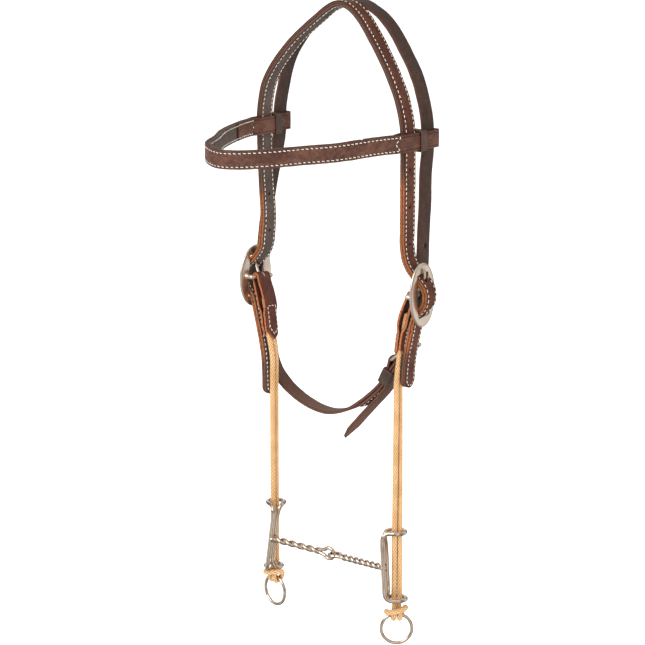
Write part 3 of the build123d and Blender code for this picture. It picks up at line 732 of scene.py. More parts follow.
# the throatlatch gets painted shade by height: darker higher up, redder low down
THROAT = leather(
    "leather_throat", dark=(0.044, 0.0215, 0.0145), light=(0.092, 0.044, 0.0295),
    raw=(0.26, 0.085, 0.030), burn=(0.060, 0.026, 0.016), raw_band=(-0.55, 0.55),
    stitched=False, rough=0.52, spec=0.20, height_shade=(-400.0, -300.0))
TAB = leather(
    "leather_tab", dark=(0.052, 0.0150, 0.0100), light=(0.100, 0.030, 0.0180),
    raw=(0.56, 0.175, 0.060), burn=(0.14, 0.040, 0.018), raw_band=(-1.2, 1.2),
    stitched=False, rough=0.46, spec=0.22)
BAND = leather(
    "leather_band", dark=(0.056, 0.0235, 0.0160), light=(0.128, 0.0560, 0.0380),
    raw=(0.34, 0.115, 0.040), burn=(0.040, 0.018, 0.012), raw_band=(-1.4, 0.0), spec=0.15)
BAND_LINING = leather(
    "leather_band_lining", dark=(0.046, 0.030, 0.024), light=(0.086, 0.058, 0.046),
    raw=(0.30, 0.10, 0.035), burn=(0.034, 0.018, 0.013), raw_band=(0.0, 1.4),
    rough=0.54, spec=0.42)
KEEPER = leather(
    "leather_keeper", dark=(0.034, 0.020, 0.015), light=(0.070, 0.041, 0.031),
    raw=(0.24, 0.09, 0.04), burn=(0.05, 0.026, 0.018), raw_band=(-0.7, 0.7),
    stitched=False, rough=0.46, spec=0.32)
NICKEL = metal("nickel_plate", (0.86, 0.725, 0.61), rough=0.30, brushed=0.35)
# the steel gets painted shade in its crevices
STEEL = metal("polished_steel", (0.755, 0.622, 0.505), rough=0.15, painted_crevice_shade=0.8, relief=0.05)
CORD = braided_nylon()
THREAD = waxed_thread()


# ------------------------------------------------------------------ joints and cheek frames
JOINTS = {j["name"]: j for j in frame["record"]["behaviour"]["joints"]}
BUCKLE_TOE = 4.5              # degrees the cheek buckles turn about Z
LEAN = {1: 4.5, -1: -4.0}     # degrees they lean forward


def place(ob, body, slot, *nodes):
    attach(ob, body)
    if nodes:
        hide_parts(*nodes)


def joint_pos(name):
    return np.array(JOINTS[name]["pos_m"], float) / MM


def swing(point, joint, deg):
    """A point turned as the joint turns it."""
    pivot, axis = joint_pos(joint), unit(JOINTS[joint]["axis"])
    v, t = np.asarray(point, float) - pivot, math.radians(deg)
    return (pivot + v * math.cos(t) + np.cross(axis, v) * math.sin(t)
            + axis * np.dot(axis, v) * (1 - math.cos(t)))


def box_mid(node):
    lo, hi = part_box(node)
    return (np.array(lo) + np.array(hi)) / 2 / MM


class Cheek:
    """A cheek buckle's own frame: out from the head, across the strap, and up."""

    def __init__(self, side):
        self.joint = "cheek_tongue_hinge_" + SIDES[side]
        self.pivot = joint_pos(self.joint)
        toe, lean = math.radians(BUCKLE_TOE), math.radians(LEAN[side])
        self.out = np.array([side * math.cos(toe), math.sin(toe), 0])
        flat = np.array([-side * math.sin(toe), math.cos(toe), 0])
        self.across = flat * math.cos(lean) + np.array([0, 0, math.sin(lean)])
        self.up = np.array([side * math.sin(toe) * math.sin(lean),
                            -math.cos(toe) * math.sin(lean), math.cos(lean)])

    def at(self, out, up, across=0.0):
        return self.pivot + out * self.out + across * self.across + up * self.up


CHEEK = {side: Cheek(side) for side in SIDES}


# ------------------------------------------------------------------ crown strap
CROWN_TOP = [(-6.0, 283.4), (0, 284.3), (6.0, 283.4)]     # x, z
# x, y, z down the left side; mirrored for the right
CROWN_SIDE = [
    (12.5, 12.8, 280.3), (18.3, 12.4, 276.4), (25.8, 11.0, 270.0), (33.6, 8.5, 263.0),
    (44.4, 4.7, 252.5), (53.6, 2.1, 242.0), (61.8, 0.2, 231.5), (69.3, -1.4, 220.0),
    (75.3, -2.0, 208.0), (79.7, -1.5, 192.0), (81.5, -1.1, 179.0), (81.7, -0.7, 164.0),
    (81.5, -0.6, 146.3), (81.0, 0.3, 118.6), (79.9, 1.4, 89.4)]
# up, out in the cheek frame: above the buckle, through it, and the tail's tip
ABOVE = {1: [(44.3, -8.7), (31.5, -6.2)], -1: [(53.2, -9.8), (39.9, -7.6), (31.5, -6.2)]}
THROUGH = [
    (24.0, -2.2), (20.5, 0.9), (16.9, 4.2), (14.7, 6.8), (12.8, 9.2), (10.1, 11.7), (5.6, 14.1),
    (0.0, 14.9), (-5.6, 14.1), (-10.1, 11.7), (-12.8, 9.2), (-14.7, 6.8), (-17.1, 4.4),
    (-20.8, 2.0), (-25.5, 0.4), (-31.0, -1.0), (-38.0, -2.9), (-46.0, -5.0), (-55.0, -7.2),
    (-65.0, -9.1), (-78.0, -10.8)]
TAIL_TIP = {1: (-88.0, -11.3), -1: (-109.9, -11.3)}
CROWN_HOLES = {1: (145.4, 111.9, 78.2), -1: (105.5, 72.0)}     # z


def crown_half(side):
    back = 1.7 * math.tan(math.radians(LEAN[side]))     # sideways drift above the buckle
    tail = 0.092 if side < 0 else 0.0                   # and below it
    return [local(side * x, y, z) for x, y, z in CROWN_SIDE] + [
        CHEEK[side].at(out, up, max(0.0, up - 21.0) * back + max(0.0, -26.0 - up) * tail)
        for up, out in ABOVE[side] + THROUGH + [TAIL_TIP[side]]]


def crown_cutters(path, normal):
    cutters = []
    for side, heights in CROWN_HOLES.items():
        for z in heights:
            same_side = np.where(path[:, 0] * side > 0)[0]
            i = same_side[np.argmin(abs(path[same_side, 2] - (z - ORIGIN_Z)))]
            cutters.append(pin_cutter(path[i], normal[i], 1.45, 14))
        cheek = CHEEK[side]
        for deg in (0.0, 3.5, 7.0):     # room for the tongue to swing
            a, b = (swing(cheek.at(*v), cheek.joint, deg) for v in ((6.6, 8.6), (10.4, 17.6)))
            cutters.append(pin_cutter((a + b) / 2, b - a, 2.0, 15))
    return cutters


def crown():
    top = [local(x, 12.7, z) for x, z in CROWN_TOP]
    path = smooth(crown_half(-1)[::-1] + top + crown_half(1), 2.0)
    path = relax(resample(path, 1.6), 3)
    along = arclen(path)
    denser = np.array([0.15, 0.4, 0.8, 1.3])     # more stations at the rounded tails
    path = sample(path, along, np.unique(np.concatenate([along, denser, along[-1] - denser])))
    along = arclen(path)
    # the width turns to each buckle's direction on the way down
    turn = np.clip((-170 - path[:, 2]) / 40.0, 0, 1)[:, None]
    at_buckle = np.array([CHEEK[1 if x > 0 else -1].across for x in path[:, 0]])
    across = (1 - turn) * Y_AXIS + turn * at_buckle
    from_end = np.minimum(along, along[-1] - along)
    round_w = 2 * np.sqrt(np.maximum(HALF_W ** 2 - (HALF_W - from_end) ** 2, 0.5))
    width = np.where(from_end < HALF_W, round_w, STRAP_W)
    wear = (np.clip((232.0 - from_end) / 50.0, 0.12, 1.0)
            * np.clip((from_end - 12.0) / 40.0, 0.42, 1.0))
    for name, part, offset, material, slot, seed in (
            ("crown_outer", "crown_outer_ply", PLY_STEP / 2, OUTER, "leather_outer", 3),
            ("crown_lining", "crown_lining_ply", -PLY_STEP / 2, LINING, "leather_lining", 13)):
        ply = Strap(path, across, width, PLY, offset, toward=Z_AXIS, wear=wear)
        ob = cut(ply.mesh(name, material, seed), crown_cutters(path, ply.normal))
        place(ob, "headstall", slot, part)
    # one seam around both edges and both tails
    end = along[-1]
    angles = np.linspace(-math.pi / 2, math.pi / 2, 13)
    seam = [(HALF_W, -STITCH_ROW), (end - HALF_W, -STITCH_ROW)]
    seam += [(end - (HALF_W - STITCH_ROW * math.cos(a)), STITCH_ROW * math.sin(a)) for a in angles]
    seam += [(HALF_W, STITCH_ROW)]
    seam += [(HALF_W - STITCH_ROW * math.cos(a), -STITCH_ROW * math.sin(a)) for a in angles]
    both = Strap(path, across, width, PAIR_T, toward=Z_AXIS)
    place(both.stitches("crown_stitching", [seam]), "headstall", "leather_outer")


crown()


# ------------------------------------------------------------------ cheek buckles
BAR_BACK = 7.5                          # plate middle, out from the bar
PLATE_HALF = np.array([20.0, 29.0])     # outer ellipse
PLATE_T = 1.25                          # half thickness
# fraction from window to rim, height from the plate's middle
PLATE_SECTION = [(f, PLATE_T + h) for f, h in (
    (0, -0.45), (0.035, -0.12), (0.08, -0.01), (0.2, 0.02), (0.45, 0.10), (0.7, 0.06),
    (0.84, -0.06), (0.92, -0.24), (0.97, -0.52), (1.0, -0.95))]
PLATE_SECTION += [(f, -PLATE_T + h) for f, h in (
    (1.0, 0.75), (0.965, 0.25), (0.90, 0.03), (0.6, 0), (0.2, 0), (0.08, 0.01), (0.035, 0.12))]
PLATE_SECTION.insert(0, (0, -PLATE_T + 0.45))
# out, radius of the posts that carry the bar
POST = [(-2.0, 0.9), (-1.9, 1.55), (-1.3, 2.1), (0, 2.3), (1.6, 2.2), (3.4, 2.15), (4.8, 2.35),
        (5.7, 2.8), (6.2, 3.1), (6.4, 3.1)]
# out, up in the cheek frame
TONGUE = [(2.9, 1.5), (5.0, 5.0), (6.9, 9.0), (8.7, 12.8), (10.1, 16.8), (10.5, 20.6),
          (10.25, 24.4)]


def lathe(origin, axis, profile, material, sides=28):
    axis = unit(axis)
    first = unit(np.cross(axis, [0.3, 0.2, 0.9]))
    second = np.cross(axis, first)
    verts = np.vstack([arc(origin + axis * z, first, second, radius, full_turn(sides))
                       for z, radius in profile])
    blank = np.zeros(len(verts))
    return mesh_object("lathe", verts, loft_faces(len(profile), sides),
                       {"sv": blank, "sa": blank}, material)


def buckle_plate(side):
    """An oval plate with a round-cornered window."""
    cheek = CHEEK[side]
    window = rounded_rect(9.0, 19.5, 1.6, 160)[0][:, :2]
    rim = window / PLATE_HALF
    rim = rim / np.linalg.norm(rim, axis=1)[:, None] * PLATE_HALF
    centre = cheek.pivot + BAR_BACK * cheek.out
    verts = []
    for inside, outside in zip(window, rim):
        for f, height in PLATE_SECTION:
            x, y = inside * (1 - f) + outside * f
            verts.append(centre + cheek.across * x + cheek.up * y + cheek.out * height)
    faces = grid_faces(len(window), len(PLATE_SECTION), closed=True)
    if side < 0:
        faces = faces[:, ::-1]
    blank = np.zeros(len(verts))
    return mesh_object("plate", verts, faces, {"sv": blank, "sa": blank}, NICKEL)


def cheek_buckle(side, word):
    cheek = CHEEK[side]
    parts = [buckle_plate(side)]
    for w in (-12.1, 12.1):
        parts.append(lathe(cheek.pivot + w * cheek.across, cheek.out, POST, NICKEL))
    bar = np.array([cheek.pivot + w * cheek.across for w in np.linspace(-12.4, 12.4, 12)])
    parts.append(tube("bar", bar, 1.98, NICKEL, 24))
    place(join("cheek_buckle_" + word, parts), "headstall", "nickel",
          "cheek_buckle_frame_" + word)

    path = resample(smooth([cheek.at(*v) for v in TONGUE], 0.6), 0.6)
    along = arclen(path)
    radius = np.interp(along / along[-1], [0, 0.1, 0.8, 0.95, 1.0], [1.3, 1.4, 1.38, 1.25, 1.0])
    shank = tube("shank", path, radius, NICKEL, 20)
    eye = arc(cheek.pivot, cheek.out, Z_AXIS, 3.42, full_turn(48))
    eye = tube("eye", eye, 1.3, NICKEL, 16, closed=True)
    place(join("cheek_tongue_" + word, [shank, eye]), "cheek_tongue_" + word, "nickel",
          "cheek_buckle_tongue_" + word)


# ------------------------------------------------------------------ cheek tabs
# up, out in the cheek frame: midway between the tab's two legs
TAB_MID = [(-59.4, -16.9), (-50.0, -15.3), (-40.0, -13.3), (-30.0, -10.8), (-20.0, -8.0),
           (-10.0, -4.2), (0.0, 0.0)]
TAB_END = {1: -59.4, -1: -55.9}
# distance from the tab's tip, aside: a house shape with its roof at the tip
TAB_SEAM = [(31.0, -4.9), (10.5, -4.9), (4.6, 0.0), (10.5, 4.9), (31.0, 4.9), (31.0, -4.6)]


def tab_mid(z):
    return float(np.interp(z, *zip(*TAB_MID)))


def cheek_tab(side, word):
    """A strap folded over the buckle bar, its pointed ends closing around the cord."""
    cheek = CHEEK[side]
    legs = [(tab_mid(z), np.interp(z, [-60, -18, -12], [4.15, 4.3, 3.9]), z)
            for z in np.linspace(TAB_END[side], -12.0, 26)]
    path = [(mid + apart, z) for mid, apart, z in legs]
    path += [(3.5 * math.cos(a), 3.5 * math.sin(a)) for a in np.radians(np.linspace(-12, 192, 15))]
    path += [(mid - apart, z) for mid, apart, z in legs[::-1]]
    path = relax(resample(np.array([cheek.at(*v) for v in path]), 1.1), 4)
    along = arclen(path)
    end = along[-1]
    width = np.interp(np.minimum(along, end - along), [0, 1.0, 4.0, 8.5, 11.0],
                      [0.9, 3.2, 9.6, 15.2, STRAP_W])
    tab = Strap(path, cheek.across, width, PLY * 0.92, wear=1.0)
    outward = np.sign(np.dot(tab.normal[5], cheek.out))     # +1: normals point out of the fold

    def close_edges(along, aside):
        low = ease(np.clip((32.0 - np.minimum(along, end - along)) / 9.0, 0, 1))
        edge = ease(np.clip((np.abs(aside) - 4.3) / 2.6, 0, 1))
        return -outward * low * edge * 2.35

    tab.bend = close_edges
    ob = tab.mesh("cheek_tab_" + word, TAB, seed=21 + side, groove=False, wander=0.12)
    # a round-ended slot through the fold for the tongue
    ring = np.array([cheek.at(0.0, z + 2.3 * math.sin(a), 2.3 * math.cos(a))
                     for z, start in ((7.7, 0), (-2.8, math.pi))
                     for a in start + np.linspace(0, np.pi, 9)])
    ob = cut(ob, [prism_cutter(ring, cheek.out * 9)])
    place(ob, "headstall", "latigo", "cheek_tab_" + word)
    rows = [[(start + sign * d, a) for d, a in TAB_SEAM] for start, sign in ((0.0, 1), (end, -1))]
    thread = tab.stitches("tab_stitching_" + word, rows, faces=(int(outward),), length=2.9,
                          lift=0.08, pitch=3.9)
    place(thread, "headstall", "latigo")


# ------------------------------------------------------------------ draw cords and rein rings
CORD_X, CORD_R = 72.4, 2.45
RING_DIR = {1: unit((0.777, 0.629, 0.0)), -1: unit((0.985, -0.174, 0.0))}     # in the ring's plane
# along the ring's plane, across it, up, from the ring's swing point; the bight crosses both
# strands after they come round the ring
BIGHT = [
    (-2.3, 3.2, 4.0), (-2.5, 3.9, -0.4), (-2.7, 1.2, -4.0), (-3.6, -3.0, -2.6),
    (-6.4, -3.9, -0.6), (-9.3, -1.0, 1.9), (-8.3, 4.4, 3.0), (-4.2, 7.7, 4.2), (0.0, 8.4, 5.2),
    (3.8, 7.6, 6.1), (7.4, 4.4, 6.8), (8.0, -1.0, 6.0), (5.8, -3.9, 2.2), (3.7, -3.2, -2.4),
    (2.8, 1.0, -4.1), (2.7, 3.7, -0.3), (2.3, 2.4, 4.6), (1.9, 0.2, 10.0)]


def braid(angle, along):
    turn, lead = angle / (2 * np.pi) * BRAID_TURNS, along * BRAID_LEAD
    a, b = turn + lead, turn - lead
    ridge_a, ridge_b = (1 - 2 * np.abs(v - np.floor(v) - 0.5) for v in (a, b))
    over = (np.floor(a) + np.floor(b)) % 2 > 0.5
    return 0.34 * (np.where(over, ridge_a, ridge_b) ** 0.8 - 0.55)


def cord_leg(side, strand, ring_top):
    """One strand from inside the tab down to the ring; strand is -1 or 1."""
    leg = [CHEEK[side].at(tab_mid(z), z, strand * (CORD_R - 0.02))
           for z in (-19.5, -24.0, -32.0, -40.0, -50.0)]
    start, end = math.pi / 2, math.pi / 2
    if side > 0:
        end = math.atan2(RING_DIR[side][1], RING_DIR[side][0])
    for z in (-328.0, *range(-345, -506, -20), -520.0, ring_top[2] + 14.0):
        a = start + (end - start) * (z + 328.0) / (ring_top[2] + 3.6 + 328.0)
        apart = np.array([math.cos(a), math.sin(a), 0]) * strand * (CORD_R + 0.03)
        leg.append(np.array([side * CORD_X, -ORIGIN_Y, z]) + apart)
    return leg


def draw_cord(side, word):
    ring_top = joint_pos("ring_swing_" + word)
    way = RING_DIR[side]
    across = np.cross(way, Z_AXIS)
    bight = [(-1.9, 1.6 if side > 0 else 0.2, 9.5)] + BIGHT
    path = cord_leg(side, -side, ring_top)
    path += [ring_top + way * a + across * b + np.array([0, 0, c]) for a, b, c in bight]
    path += cord_leg(side, side, ring_top)[::-1]
    path = relax(resample(smooth(path, 0.8), 0.42), 2)
    cord = tube("draw_cord_" + word, path, CORD_R - 0.06, CORD, 48, relief=braid)
    place(cord, "headstall", "cord", "draw_cord_" + word)

    name = "rein_ring_" + word
    angles = full_turn(120)
    radius = 1.5 + 0.10 * np.exp(-((angles - 4.2) / 0.07) ** 2)     # a slight bead
    ring = arc(box_mid(name), way, Z_AXIS, 14.0, angles)
    place(tube(name, ring, radius, STEEL, 20, closed=True), "ring_" + word, "steel", name)


# ------------------------------------------------------------------ bit
CHEEK_R, LOOP_R = 1.95, 7.9
# x, y, z for the left: the two rods between the upper and lower loops
ROD_UP = [(66.8, -13.3, -220), (65.4, -12.5, -206), (64.5, -11.9, -197), (65.0, -11.5, -191.3),
          (68.0, -9.3, -188.0)]
ROD_DOWN = [(61.9, -3.2, -188.2), (62.6, -5.4, -191.3), (64.0, -6.0, -197), (65.4, -6.6, -206),
            (66.8, -7.3, -220), (68.0, -7.9, -232), (68.9, -8.2, -240.5), (67.4, -7.2, -247.0),
            (66.0, -4.6, -249.6)]
ROD_BACK_UP = [(72.6, -11.6, -249.8), (69.8, -13.8, -246.5), (69.0, -14.3, -240.5),
               (68.0, -13.9, -232)]
UPPER_LOOP = ((71.3, 0.5, -187.4), 292, 532)     # centre, start and end degrees
LOWER_LOOP = ((73.5, -0.7, -250.3), 175, -65)


def bit_cheek(side, word):
    def rod(table):
        return [local(side * x, y, z) for x, y, z in table]

    def loop(centre, start, end):
        angles = np.radians(np.linspace(start, end, 12))
        return [*arc(rod([centre])[0], side * X_AXIS, Y_AXIS, LOOP_R, angles)]

    wire = rod(ROD_UP) + loop(*UPPER_LOOP) + rod(ROD_DOWN) + loop(*LOWER_LOOP) + rod(ROD_BACK_UP)
    path = smooth(wire, 0.8, closed=True)
    for _ in range(3):
        path = path + 0.25 * (np.roll(path, 1, 0) + np.roll(path, -1, 0) - 2 * path)
    ob = tube("bit_cheek_" + word, path, CHEEK_R, STEEL, 24, closed=True)
    place(ob, "bit_half_" + word, "steel", "bit_cheek_" + word)


def mouth_wire(side, word):
    """One wire doubled at the middle eye and twisted, with welds onto the rods."""
    eye = local(side * 3.5, -4.0, -222.7)
    rods = local(side * 66.8, -10.3, -220.0)
    axis = unit(rods - eye)
    length = float(np.linalg.norm(rods - eye))
    first = Y_AXIS if side > 0 else Z_AXIS
    first = unit(first - np.dot(first, axis) * axis)
    second = np.cross(axis, first)
    start, radius, pitch = 10.5, 1.64, 13.6 if side > 0 else 19.5

    def helix(phase):
        points = []
        for x in np.arange(start, length - 1.2, 0.5):
            a = 2 * math.pi * (x - start) / pitch + phase
            points.append(eye + axis * x + (first * math.cos(a) + second * math.sin(a)) * radius)
        return points

    loop = arc(eye, axis, first, 5.2, np.radians(np.linspace(38, 322, 26)))
    path = helix(0.0)[::-1] + [eye + axis * 8.6 + first * 1.85, *loop]
    path += [eye + axis * 8.6 - first * 1.85] + helix(math.pi)
    path = relax(resample(smooth(path, 0.5), 0.45), 2)
    parts = [tube("mouth_strands", path, 1.78, STEEL, 22)]
    along = np.linspace(0, 1, 12)
    weld_r = np.interp(along, [0, 0.35, 0.7, 1.0], [0.6, 1.7, 2.4, 2.7])
    for y in (-2.6, 0.0, 2.6):
        a, b = eye + axis * (length - 9.0), rods + np.array([0, y, 0]) - axis
        weld = np.array([a * (1 - f) + b * f for f in along])
        parts.append(tube("weld", weld, weld_r, STEEL, 18))
    place(join("mouth_wire_" + word, parts), "bit_half_" + word, "steel", "mouth_wire_" + word)


for side, word in SIDES.items():
    cheek_buckle(side, word)
    cheek_tab(side, word)
    draw_cord(side, word)
    bit_cheek(side, word)
    mouth_wire(side, word)


# ------------------------------------------------------------------ browband
# x, y from the middle of the front back along the left side
BROW_PLAN = [
    (0, -153.2), (30.8, -137.4), (49.5, -105.0), (65.2, -78.7), (77.7, -40.5), (80.6, -30.0),
    (83.0, -21.0), (85.0, -14.5), (85.9, -9.0), (86.2, 0.0), (86.7, 8.0), (87.6, 14.5),
    (88.2, 20.0), (88.2, 33.2)]
BROW_Z = [(0, 165.3), (65, 168.3), (78, 170.0), (90, 170.0)]     # x, z
# x, y of the part that returns forward inside the loop
BROW_RETURN = [(81.3, 33.2), (81.25, 19.0), (80.4, 15.6), (78.6, 11.5), (77.3, 8.6), (77.2, 0.0),
               (77.2, -8.5)]


def both_sides(path):
    return relax(resample(np.vstack([(path[1:] * MIRROR)[::-1], path]), 1.5), 3)


def browband():
    half = [local(x, y, float(np.interp(x, *zip(*BROW_Z)))) for x, y in BROW_PLAN]
    # two mirrored points make the curve run square across the middle
    main = smooth([h * MIRROR for h in half[2:0:-1]] + half, 1.6)
    middle = int(np.argmin(np.hypot(main[:, 0], main[:, 1] - half[0][1])))
    main = main[middle:].copy()
    main[0][0] = 0.0
    loop = arc(local(84.75, 33.2, 170.0), X_AXIS, Y_AXIS, 3.45, np.radians(np.linspace(15, 165, 11)))
    back = smooth([local(x, y, 170.0) for x, y in BROW_RETURN], 1.6)
    inward = np.cross(units(np.gradient(main, axis=0)), Z_AXIS)
    if inward[0][1] < 0:
        inward = -inward
    y = main[:, 1]
    flapped = (y > -52.0 - ORIGIN_Y) & (y < -19.0 - ORIGIN_Y)
    flap = (main + inward * PLY_STEP)[flapped][::-1]
    full = both_sides(np.vstack([main, loop, back, [local(78.1, -13.6, 170.0)], flap]))
    outer = Strap(full, Z_AXIS, toward=-Y_AXIS)
    place(outer.mesh("browband_outer", BAND, seed=31), "headstall", "leather_outer",
          "browband_outer_ply")
    lining = Strap(both_sides(main[y < -53.5 - ORIGIN_Y]), Z_AXIS, offset=-PLY_STEP,
                   toward=-Y_AXIS)
    place(lining.mesh("browband_lining", BAND_LINING, seed=41), "headstall", "leather_lining",
          "browband_lining_ply")
    path = both_sides(main[y < -9.5 - ORIGIN_Y])
    pair = Strap(path, Z_AXIS, thick=PAIR_T, offset=-PLY_STEP / 2, toward=-Y_AXIS)
    end, row = arclen(path)[-1], STITCH_ROW
    seam = [(6.0, -row), (end - 6.0, -row), (end - 10.5, 0.0), (end - 6.0, row), (6.0, row),
            (10.5, 0.0), (6.4, -5.4)]
    place(pair.stitches("browband_stitching", [seam]), "headstall", "leather_outer")


def keeper(name, axis, wide, high, inner_w, inner_h, length, seed):
    """A crimped leather band: axis along the strap, wide and high across it."""
    wall = 1.5
    # fraction of the half length, fraction of the wall
    section = [(-1, 0.25), (-1, 0.75), (-0.9, 0.97), (-0.78, 1.0), (-0.72, 0.93), (-0.66, 1.0),
               (-0.3, 1.06), (0.3, 1.06), (0.66, 1.0), (0.72, 0.93), (0.78, 1.0), (0.9, 0.97),
               (1, 0.75), (1, 0.25), (0.9, 0.0), (0.0, 0.0), (-0.9, 0.0)]
    outline, around = rounded_rect(inner_w / 2, inner_h / 2, 0.64, 132)
    rough = wobble(around, 0.06, 4.0, seed)
    centre = box_mid(name)
    verts, rows = [], []
    for i, (x, z, *normal) in enumerate(outline):
        nx, nz = unit(normal)
        for f, h in section:
            out, depth = f * length / 2, h * wall
            height = depth + (rough[i] if depth > 0.2 else 0)
            verts.append(centre + wide * (x + nx * height) + high * (z + nz * height) + axis * out)
            cut_side = abs(out) > length / 2 * 0.95 and 0.2 < depth / wall < 0.8
            rows.append((out * 1.3, around[i], 2 * depth / wall - 1, float(cut_side), 0.3))
    attrs = dict(zip(("su", "sv", "st", "ed", "wr"), np.array(rows).T))
    faces = grid_faces(len(outline), len(section), closed=True)
    return mesh_object(name, verts, faces, attrs, KEEPER)


browband()
for side, word in SIDES.items():
    name = "browband_keeper_" + word
    ob = keeper(name, Y_AXIS, side * X_AXIS, Z_AXIS, inner_w=13.5, inner_h=STRAP_W + 0.35,
                length=8.0, seed=51 + side)
    place(ob, "headstall", "leather_outer", name)


# ------------------------------------------------------------------ throatlatch
# strap directions at the buckle, then the buckle frame's own: forth from the bar, and down
UP, OUT = unit([0.464, 0.0, 0.886]), unit([0.886, 0.0, -0.464])
FRAME_TILT = math.radians(38)
FORTH = np.array([math.cos(FRAME_TILT), 0, math.sin(FRAME_TILT)])
DOWN = np.array([math.sin(FRAME_TILT), 0, -math.cos(FRAME_TILT)])
HEEL = joint_pos("throat_tongue_hinge")
BELOW = HEEL - 19.0 * UP
# x, y, z of each run; the upper run is mirrored for the right
THROAT_UPPER = [
    (26.0, 29.5, 276.0), (36.0, 27.6, 270.0), (44.9, 25.6, 263.0), (54.6, 23.7, 252.5),
    (62.4, 22.8, 242.0), (69.3, 22.7, 231.5), (74.6, 23.2, 220.0), (79.5, 23.9, 204.0),
    (82.9, 24.0, 190.0), (84.2, 24.0, 180.0), (84.6, 24.0, 161.0)]
THROAT_LEFT = [
    (84.0, 22.0, 140.4), (84.2, 21.2, 112.7), (83.3, 20.5, 85.2), (82.5, 20.5, 57.6),
    (80.8, 20.6, 32.0), (77.6, 21.0, 12.0), (73.8, 21.4, -2.3), (69.6, 21.5, -14.3),
    (65.2, 21.5, -25.3)]
THROAT_TAIL = [(42.2, 21.5, -65.1), (35.2, 21.5, -72.9), (26.6, 21.5, -81.8), (10.8, 21.5, -98.8),
               (-5.4, 21.5, -116.5)]
THROAT_BOTTOM = [
    (28.6, 19.8, -69.0), (18.4, 17.8, -77.6), (8.1, 15.6, -84.9), (-1.8, 13.4, -89.0),
    (-13.0, 11.6, -91.2), (-27.9, 12.3, -90.7), (-43.2, 14.2, -87.8), (-58.9, 16.6, -82.8),
    (-73.5, 18.0, -74.7)]
THROAT_RIGHT = [
    (-87.2, 18.6, -59.8), (-93.2, 19.5, -39.2), (-97.0, 20.2, -14.5), (-99.6, 20.2, 8.0),
    (-101.8, 20.2, 27.0), (-100.4, 18.6, 52.0), (-95.6, 17.2, 80.0), (-91.0, 17.6, 108.0),
    (-87.2, 21.0, 136.0)]
# forth from the bar, y
THROAT_RIM = [
    (0, -8), (0, -4), (0, 4), (0, 8), (0.6, 9.4), (2, 10), (8, 10), (16, 10), (20, 10),
    (22.8, 8.9), (23.9, 6.6), (24, 3), (24, -3), (23.9, -6.6), (22.8, -8.9), (20, -10),
    (16, -10), (8, -10), (2, -10), (0.6, -9.4)]
TONGUE_ROOT = HEEL + DOWN * 1.2 + FORTH * 2.4
TONGUE_TIP = HEEL + 24.0 * FORTH + DOWN * 2.88 + FORTH * 1.0


def throat_path():
    """The strap's path from its folded-back end to the tail, and the length of that end."""
    def points(table):
        return [local(*p) for p in table]

    bottom = points(THROAT_BOTTOM)
    strap_start = [BELOW - 1.6 * OUT, BELOW - 9 * UP - 1.6 * OUT]
    under = resample(smooth(strap_start + bottom[:5], 1.6), 1.6)
    under_strap = Strap(under, Y_AXIS)
    outward = under_strap.normal * np.sign(np.dot(under_strap.normal[0], OUT))
    lapped = (under_strap.along > 13.0) & (under_strap.along < 43.0)
    lap = (under + outward * (THROAT_T + 0.4))[lapped][::-1]
    head = smooth([*lap[::3], BELOW - 8 * UP + 1.6 * OUT, BELOW + 1.6 * OUT,
                   BELOW + 5 * UP + 1.62 * OUT, BELOW + 10 * UP + 1.7 * OUT,
                   HEEL + 3.15 * OUT - 3 * UP], 1.6)
    fold = arc(HEEL, OUT, UP, 3.25, np.radians(range(10, 171, 16)))
    inner = [HEEL - 3.15 * OUT - 3 * UP, BELOW + 10 * UP - 1.7 * OUT, BELOW + 5 * UP - 1.62 * OUT]
    over_buckle = [HEEL + 6.3 * OUT + 0.5 * UP, HEEL + 6.2 * OUT - 2.5 * UP,
                   BELOW + 13.2 * UP + 5.7 * OUT, BELOW + 10.0 * UP + 5.1 * OUT]
    over_buckle += [BELOW + 5.0 * OUT + step * UP for step in (6.0, 0.0, -8.0)]
    right_upper = [(-x, y, z) for x, y, z in THROAT_UPPER[::-1]]
    rest = smooth([fold[-1]] + inner + strap_start + bottom
                  + points(THROAT_RIGHT + right_upper + [(0, 31.9, 284.8)]
                           + THROAT_UPPER + THROAT_LEFT)
                  + over_buckle + points(THROAT_TAIL), 1.6)
    path = relax(resample(np.vstack([head, fold[:-1], rest]), 1.4), 2)
    return path, arclen(head)[-1]


def throat_cutters():
    # the tongue's slot in the fold, its swing through the tail, and a hole high on the left
    cutters = [prism_cutter(arc(HEEL, UP, OUT, 4.8, full_turn(24)), 2.1 * Y_AXIS)]
    for deg in (0.0, 3.0, 6.0):
        a, b = (swing(v, "throat_tongue_hinge", deg) for v in (TONGUE_ROOT, TONGUE_TIP))
        cutters.append(pin_cutter((a + b) / 2 + unit(b - a) * 2.0, b - a, 1.75, 17))
    cutters.append(pin_cutter(local(83.0, 21.8, 75.0), X_AXIS, 2.2, 12, 28))
    return cutters


def throatlatch():
    path, head = throat_path()
    along = arclen(path)
    width = np.interp(along[-1] - along, [0, 0.6, 15.0], [1.0, 1.9, STRAP_W])
    width = np.minimum(width, np.interp(along, [0, 1.0, 4.0], [13.0, 15.2, STRAP_W]))
    strap = Strap(path, Y_AXIS, width, THROAT_T)
    ob = strap.mesh("throatlatch", THROAT, seed=61, groove=False, crown=0.14)
    place(cut(ob, throat_cutters()), "headstall", "leather_throat", "throatlatch_strap")
    rows = [[(2.5, a), (head - 20.0, a)] for a in (-5.6, 5.6)] + [[(2.5, -5.6), (2.5, 5.6)]]
    face = 1 if np.dot(strap.normals(head * 0.8 * np.ones(1))[0], OUT) > 0 else -1
    place(strap.stitches("throatlatch_stitching", rows, faces=(face,), length=2.8),
          "headstall", "leather_throat")


